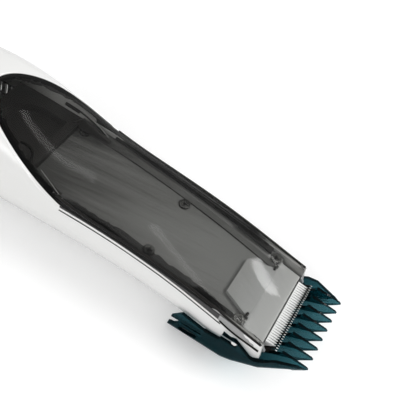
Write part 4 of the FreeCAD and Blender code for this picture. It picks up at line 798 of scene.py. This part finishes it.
def onBlade(x, y, z):
    return (Vector(cuttingEdge["place"]) + bladeAlong * x + bladeUp * z + Vector((0, y, 0))) * mm


def cutAway(node, edge):
    # The blade's plate without its teeth, closed where it's cut
    form = mergedForm(node)
    cut = cutThrough(form, onBlade(edge, 0, 0), bladeAlong, clear_outer=True)
    rims = [e for e in cut["geom_cut"] if isinstance(e, bmesh.types.BMEdge)]
    bmesh.ops.holes_fill(form, edges=rims, sides=0)
    return form


def addTooth(form, y, corners):
    # One tooth from a cube: corners give each end's height range and half widths
    tooth = bmesh.ops.create_cube(form, size=2.0)["verts"]
    for vertex in tooth:
        end = corners["tip" if vertex.co.x > 0 else "root"]
        x, z, half = end["top" if vertex.co.z > 0 else "bottom"]
        vertex.co = onBlade(x, y + math.copysign(half, vertex.co.y), z)
    return {face for vertex in tooth for face in vertex.link_faces}


def bladeTeeth(name, node, values, body, finish, tipFinish=None):
    form = cutAway(node, values["cut"])
    for face in form.faces:
        face.smooth = False
    count = values["count"]
    for i in range(count):
        faces = addTooth(form, (i - (count - 1) / 2) * values["pitch"], values)
        if tipFinish:
            lead = max(faces, key=lambda face: face.calc_center_median().dot(bladeAlong))
            lead.material_index = 1
    mesh = bpy.data.meshes.new(name)
    form.to_mesh(mesh)
    form.free()
    piece = newPiece(name, mesh, body, finish)
    if tipFinish:
        mesh.materials.append(finishes[tipFinish])
    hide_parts(node)


# Each place is along the blade, above it, and half the width there
cutterTeeth = {
    "count": 28, "pitch": 1.27, "cut": -5.9,
    "root": {"top": (-4.47, 3.0, 0.56), "bottom": (-6.2, 0.06, 0.60)},
    "tip": {"top": (-1.0, 0.30, 0.05), "bottom": (-0.95, 0.06, 0.07)},
}
fixedTeeth = {
    "count": 31, "pitch": 1.27, "cut": -3.4,
    "root": {"top": (-3.6, 0.0, 0.36), "bottom": (-3.6, -0.8, 0.40)},
    "tip": {"top": (-0.35, -0.05, 0.14), "bottom": (0.30, -0.55, 0.12)},
}
bladeTeeth("cutterTeeth", "moving_blade", cutterTeeth, "cutter", "cutterWhite")
# The fixed teeth are near black as painted shade on their steel; each tooth's lead face keeps the steel finish
bladeTeeth("fixedTeeth", "fixed_blade", fixedTeeth, "housing", "deepBlack", "bladeSteel")
print("teeth:", cutterTeeth["count"], fixedTeeth["count"])


# The filter's cloth, a plain panel in place of the slotted one

filterCloth = {"drop": 0.35}


def buildCloth(values):
    low, high = (Vector(corner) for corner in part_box("filter_mesh"))
    form = bmesh.new()
    bmesh.ops.create_cube(form, size=1.0)
    for vertex in form.verts:
        vertex.co = Vector(((low[i] + high[i]) / 2 + vertex.co[i] * (high[i] - low[i])) for i in range(3))
        if vertex.co.z > (low.z + high.z) / 2:
            vertex.co.z = high.z - values["drop"] * mm
    mesh = bpy.data.meshes.new("filterCloth")
    form.to_mesh(mesh)
    form.free()
    piece = newPiece("filterCloth", mesh, "housing", "filterBlack")
    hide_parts("filter_mesh")


buildCloth(filterCloth)


# Studio

studio = {
    "backdrop": 1.0, "fill": 0.50, "aim": (0, 0, 0.02),
    "floor": {
        "size": 3.0, "drop": 0.0002, "colour": (0.90, 0.90, 0.90), "roughness": 0.9, "specular": 0.1,
        "glow": (0.16, 0.9), "glowReach": (0.4, 1.3),
    },
    "lamps": {
        "key": {"place": (0.95, 0.45, 0.95), "size": (0.7, 0.7), "power": 11},
        "side": {"place": (-0.4, -0.9, 0.7), "size": (0.8, 0.6), "power": 5},
        "streak": {"place": (0.19, 0.555, 1.0), "size": (0.46, 0.05), "power": 0.34},
        "glint": {"place": (0.555, 0.90, 1.0), "size": (0.12, 0.04), "power": 0.4},
    },
}


def areaLamp(name, values, aim):
    lamp = bpy.data.lights.new(name, "AREA")
    lamp.shape = "RECTANGLE"
    lamp.size, lamp.size_y = values["size"]
    lamp.energy = values["power"]
    holder = bpy.data.objects.new(name, lamp)
    holder.location = values["place"]
    towards = Vector(aim) - Vector(values["place"])
    holder.rotation_euler = towards.to_track_quat("-Z", "Y").to_euler()
    bpy.context.scene.collection.objects.link(holder)


def buildBackdrop(values):
    # White to the camera and in gloss, dimmer as the light on the object
    world = bpy.data.worlds.new("studioWorld")
    bpy.context.scene.world = world
    world.use_nodes = True
    tree = world.node_tree
    light = tree.nodes["Background"]
    light.inputs["Color"].default_value = (1, 1, 1, 1)
    light.inputs["Strength"].default_value = values["fill"]
    shown = tree.nodes.new("ShaderNodeBackground")
    shown.inputs["Color"].default_value = (1, 1, 1, 1)
    shown.inputs["Strength"].default_value = values["backdrop"]
    ray = tree.nodes.new("ShaderNodeLightPath")
    seen = ray.outputs["Is Camera Ray"]
    for kind in ("Is Glossy Ray", "Is Transmission Ray"):
        either = tree.nodes.new("ShaderNodeMath")
        either.operation = "MAXIMUM"
        tree.links.new(seen, either.inputs[0])
        tree.links.new(ray.outputs[kind], either.inputs[1])
        seen = either.outputs["Value"]
    mix = tree.nodes.new("ShaderNodeMixShader")
    tree.links.new(seen, mix.inputs["Fac"])
    tree.links.new(light.outputs["Background"], mix.inputs[1])
    tree.links.new(shown.outputs["Background"], mix.inputs[2])
    tree.links.new(mix.outputs["Shader"], tree.nodes["World Output"].inputs["Surface"])


def buildFloor(values):
    form = bmesh.new()
    bmesh.ops.create_grid(form, x_segments=1, y_segments=1, size=values["size"])
    mesh = bpy.data.meshes.new("floor")
    form.to_mesh(mesh)
    form.free()
    floor = bpy.data.objects.new("floor", mesh)
    floor.location.z = -values["drop"]
    bpy.context.scene.collection.objects.link(floor)
    material, tree, shader = newFinish("floorPaper")
    shader.inputs["Base Color"].default_value = (*values["colour"], 1)
    shader.inputs["Roughness"].default_value = values["roughness"]
    shader.inputs["Specular IOR Level"].default_value = values["specular"]
    # The paper is brighter to the camera than it lights the object, and most so far out
    seen = tree.nodes.new("ShaderNodeLightPath")
    place = tree.nodes.new("ShaderNodeTexCoord")
    distance = tree.nodes.new("ShaderNodeVectorMath")
    distance.operation = "LENGTH"
    tree.links.new(place.outputs["Object"], distance.inputs[0])
    glow = tree.nodes.new("ShaderNodeMath")
    glow.operation = "MULTIPLY"
    level = spread(tree, distance.outputs["Value"], *values["glow"], *values["glowReach"])
    tree.links.new(seen.outputs["Is Camera Ray"], glow.inputs[0])
    tree.links.new(level, glow.inputs[1])
    shader.inputs["Emission Color"].default_value = (1, 1, 1, 1)
    tree.links.new(glow.outputs["Value"], shader.inputs["Emission Strength"])
    mesh.materials.append(material)


buildBackdrop(studio)
buildFloor(studio["floor"])
for lampName, lampValues in studio["lamps"].items():
    areaLamp(lampName + "Lamp", lampValues, studio["aim"])

camera = {
    "place": (0.07125, -0.19811, 0.28106), "turn": (38.4915, -15.5016, 28.2516), "lens": 67.24,
    "sensor": 36, "nearest": 0.01,
}
cameraData = bpy.data.cameras.new("camera")
cameraData.lens = camera["lens"]
cameraData.sensor_width = camera["sensor"]
cameraData.clip_start = camera["nearest"]
cameraObject = bpy.data.objects.new("camera", cameraData)
cameraObject.location = camera["place"]
cameraObject.rotation_euler = [math.radians(angle) for angle in camera["turn"]]
bpy.context.scene.collection.objects.link(cameraObject)
bpy.context.scene.camera = cameraObject
bpy.context.scene.view_settings.view_transform = "Standard"
print("studio and camera set")
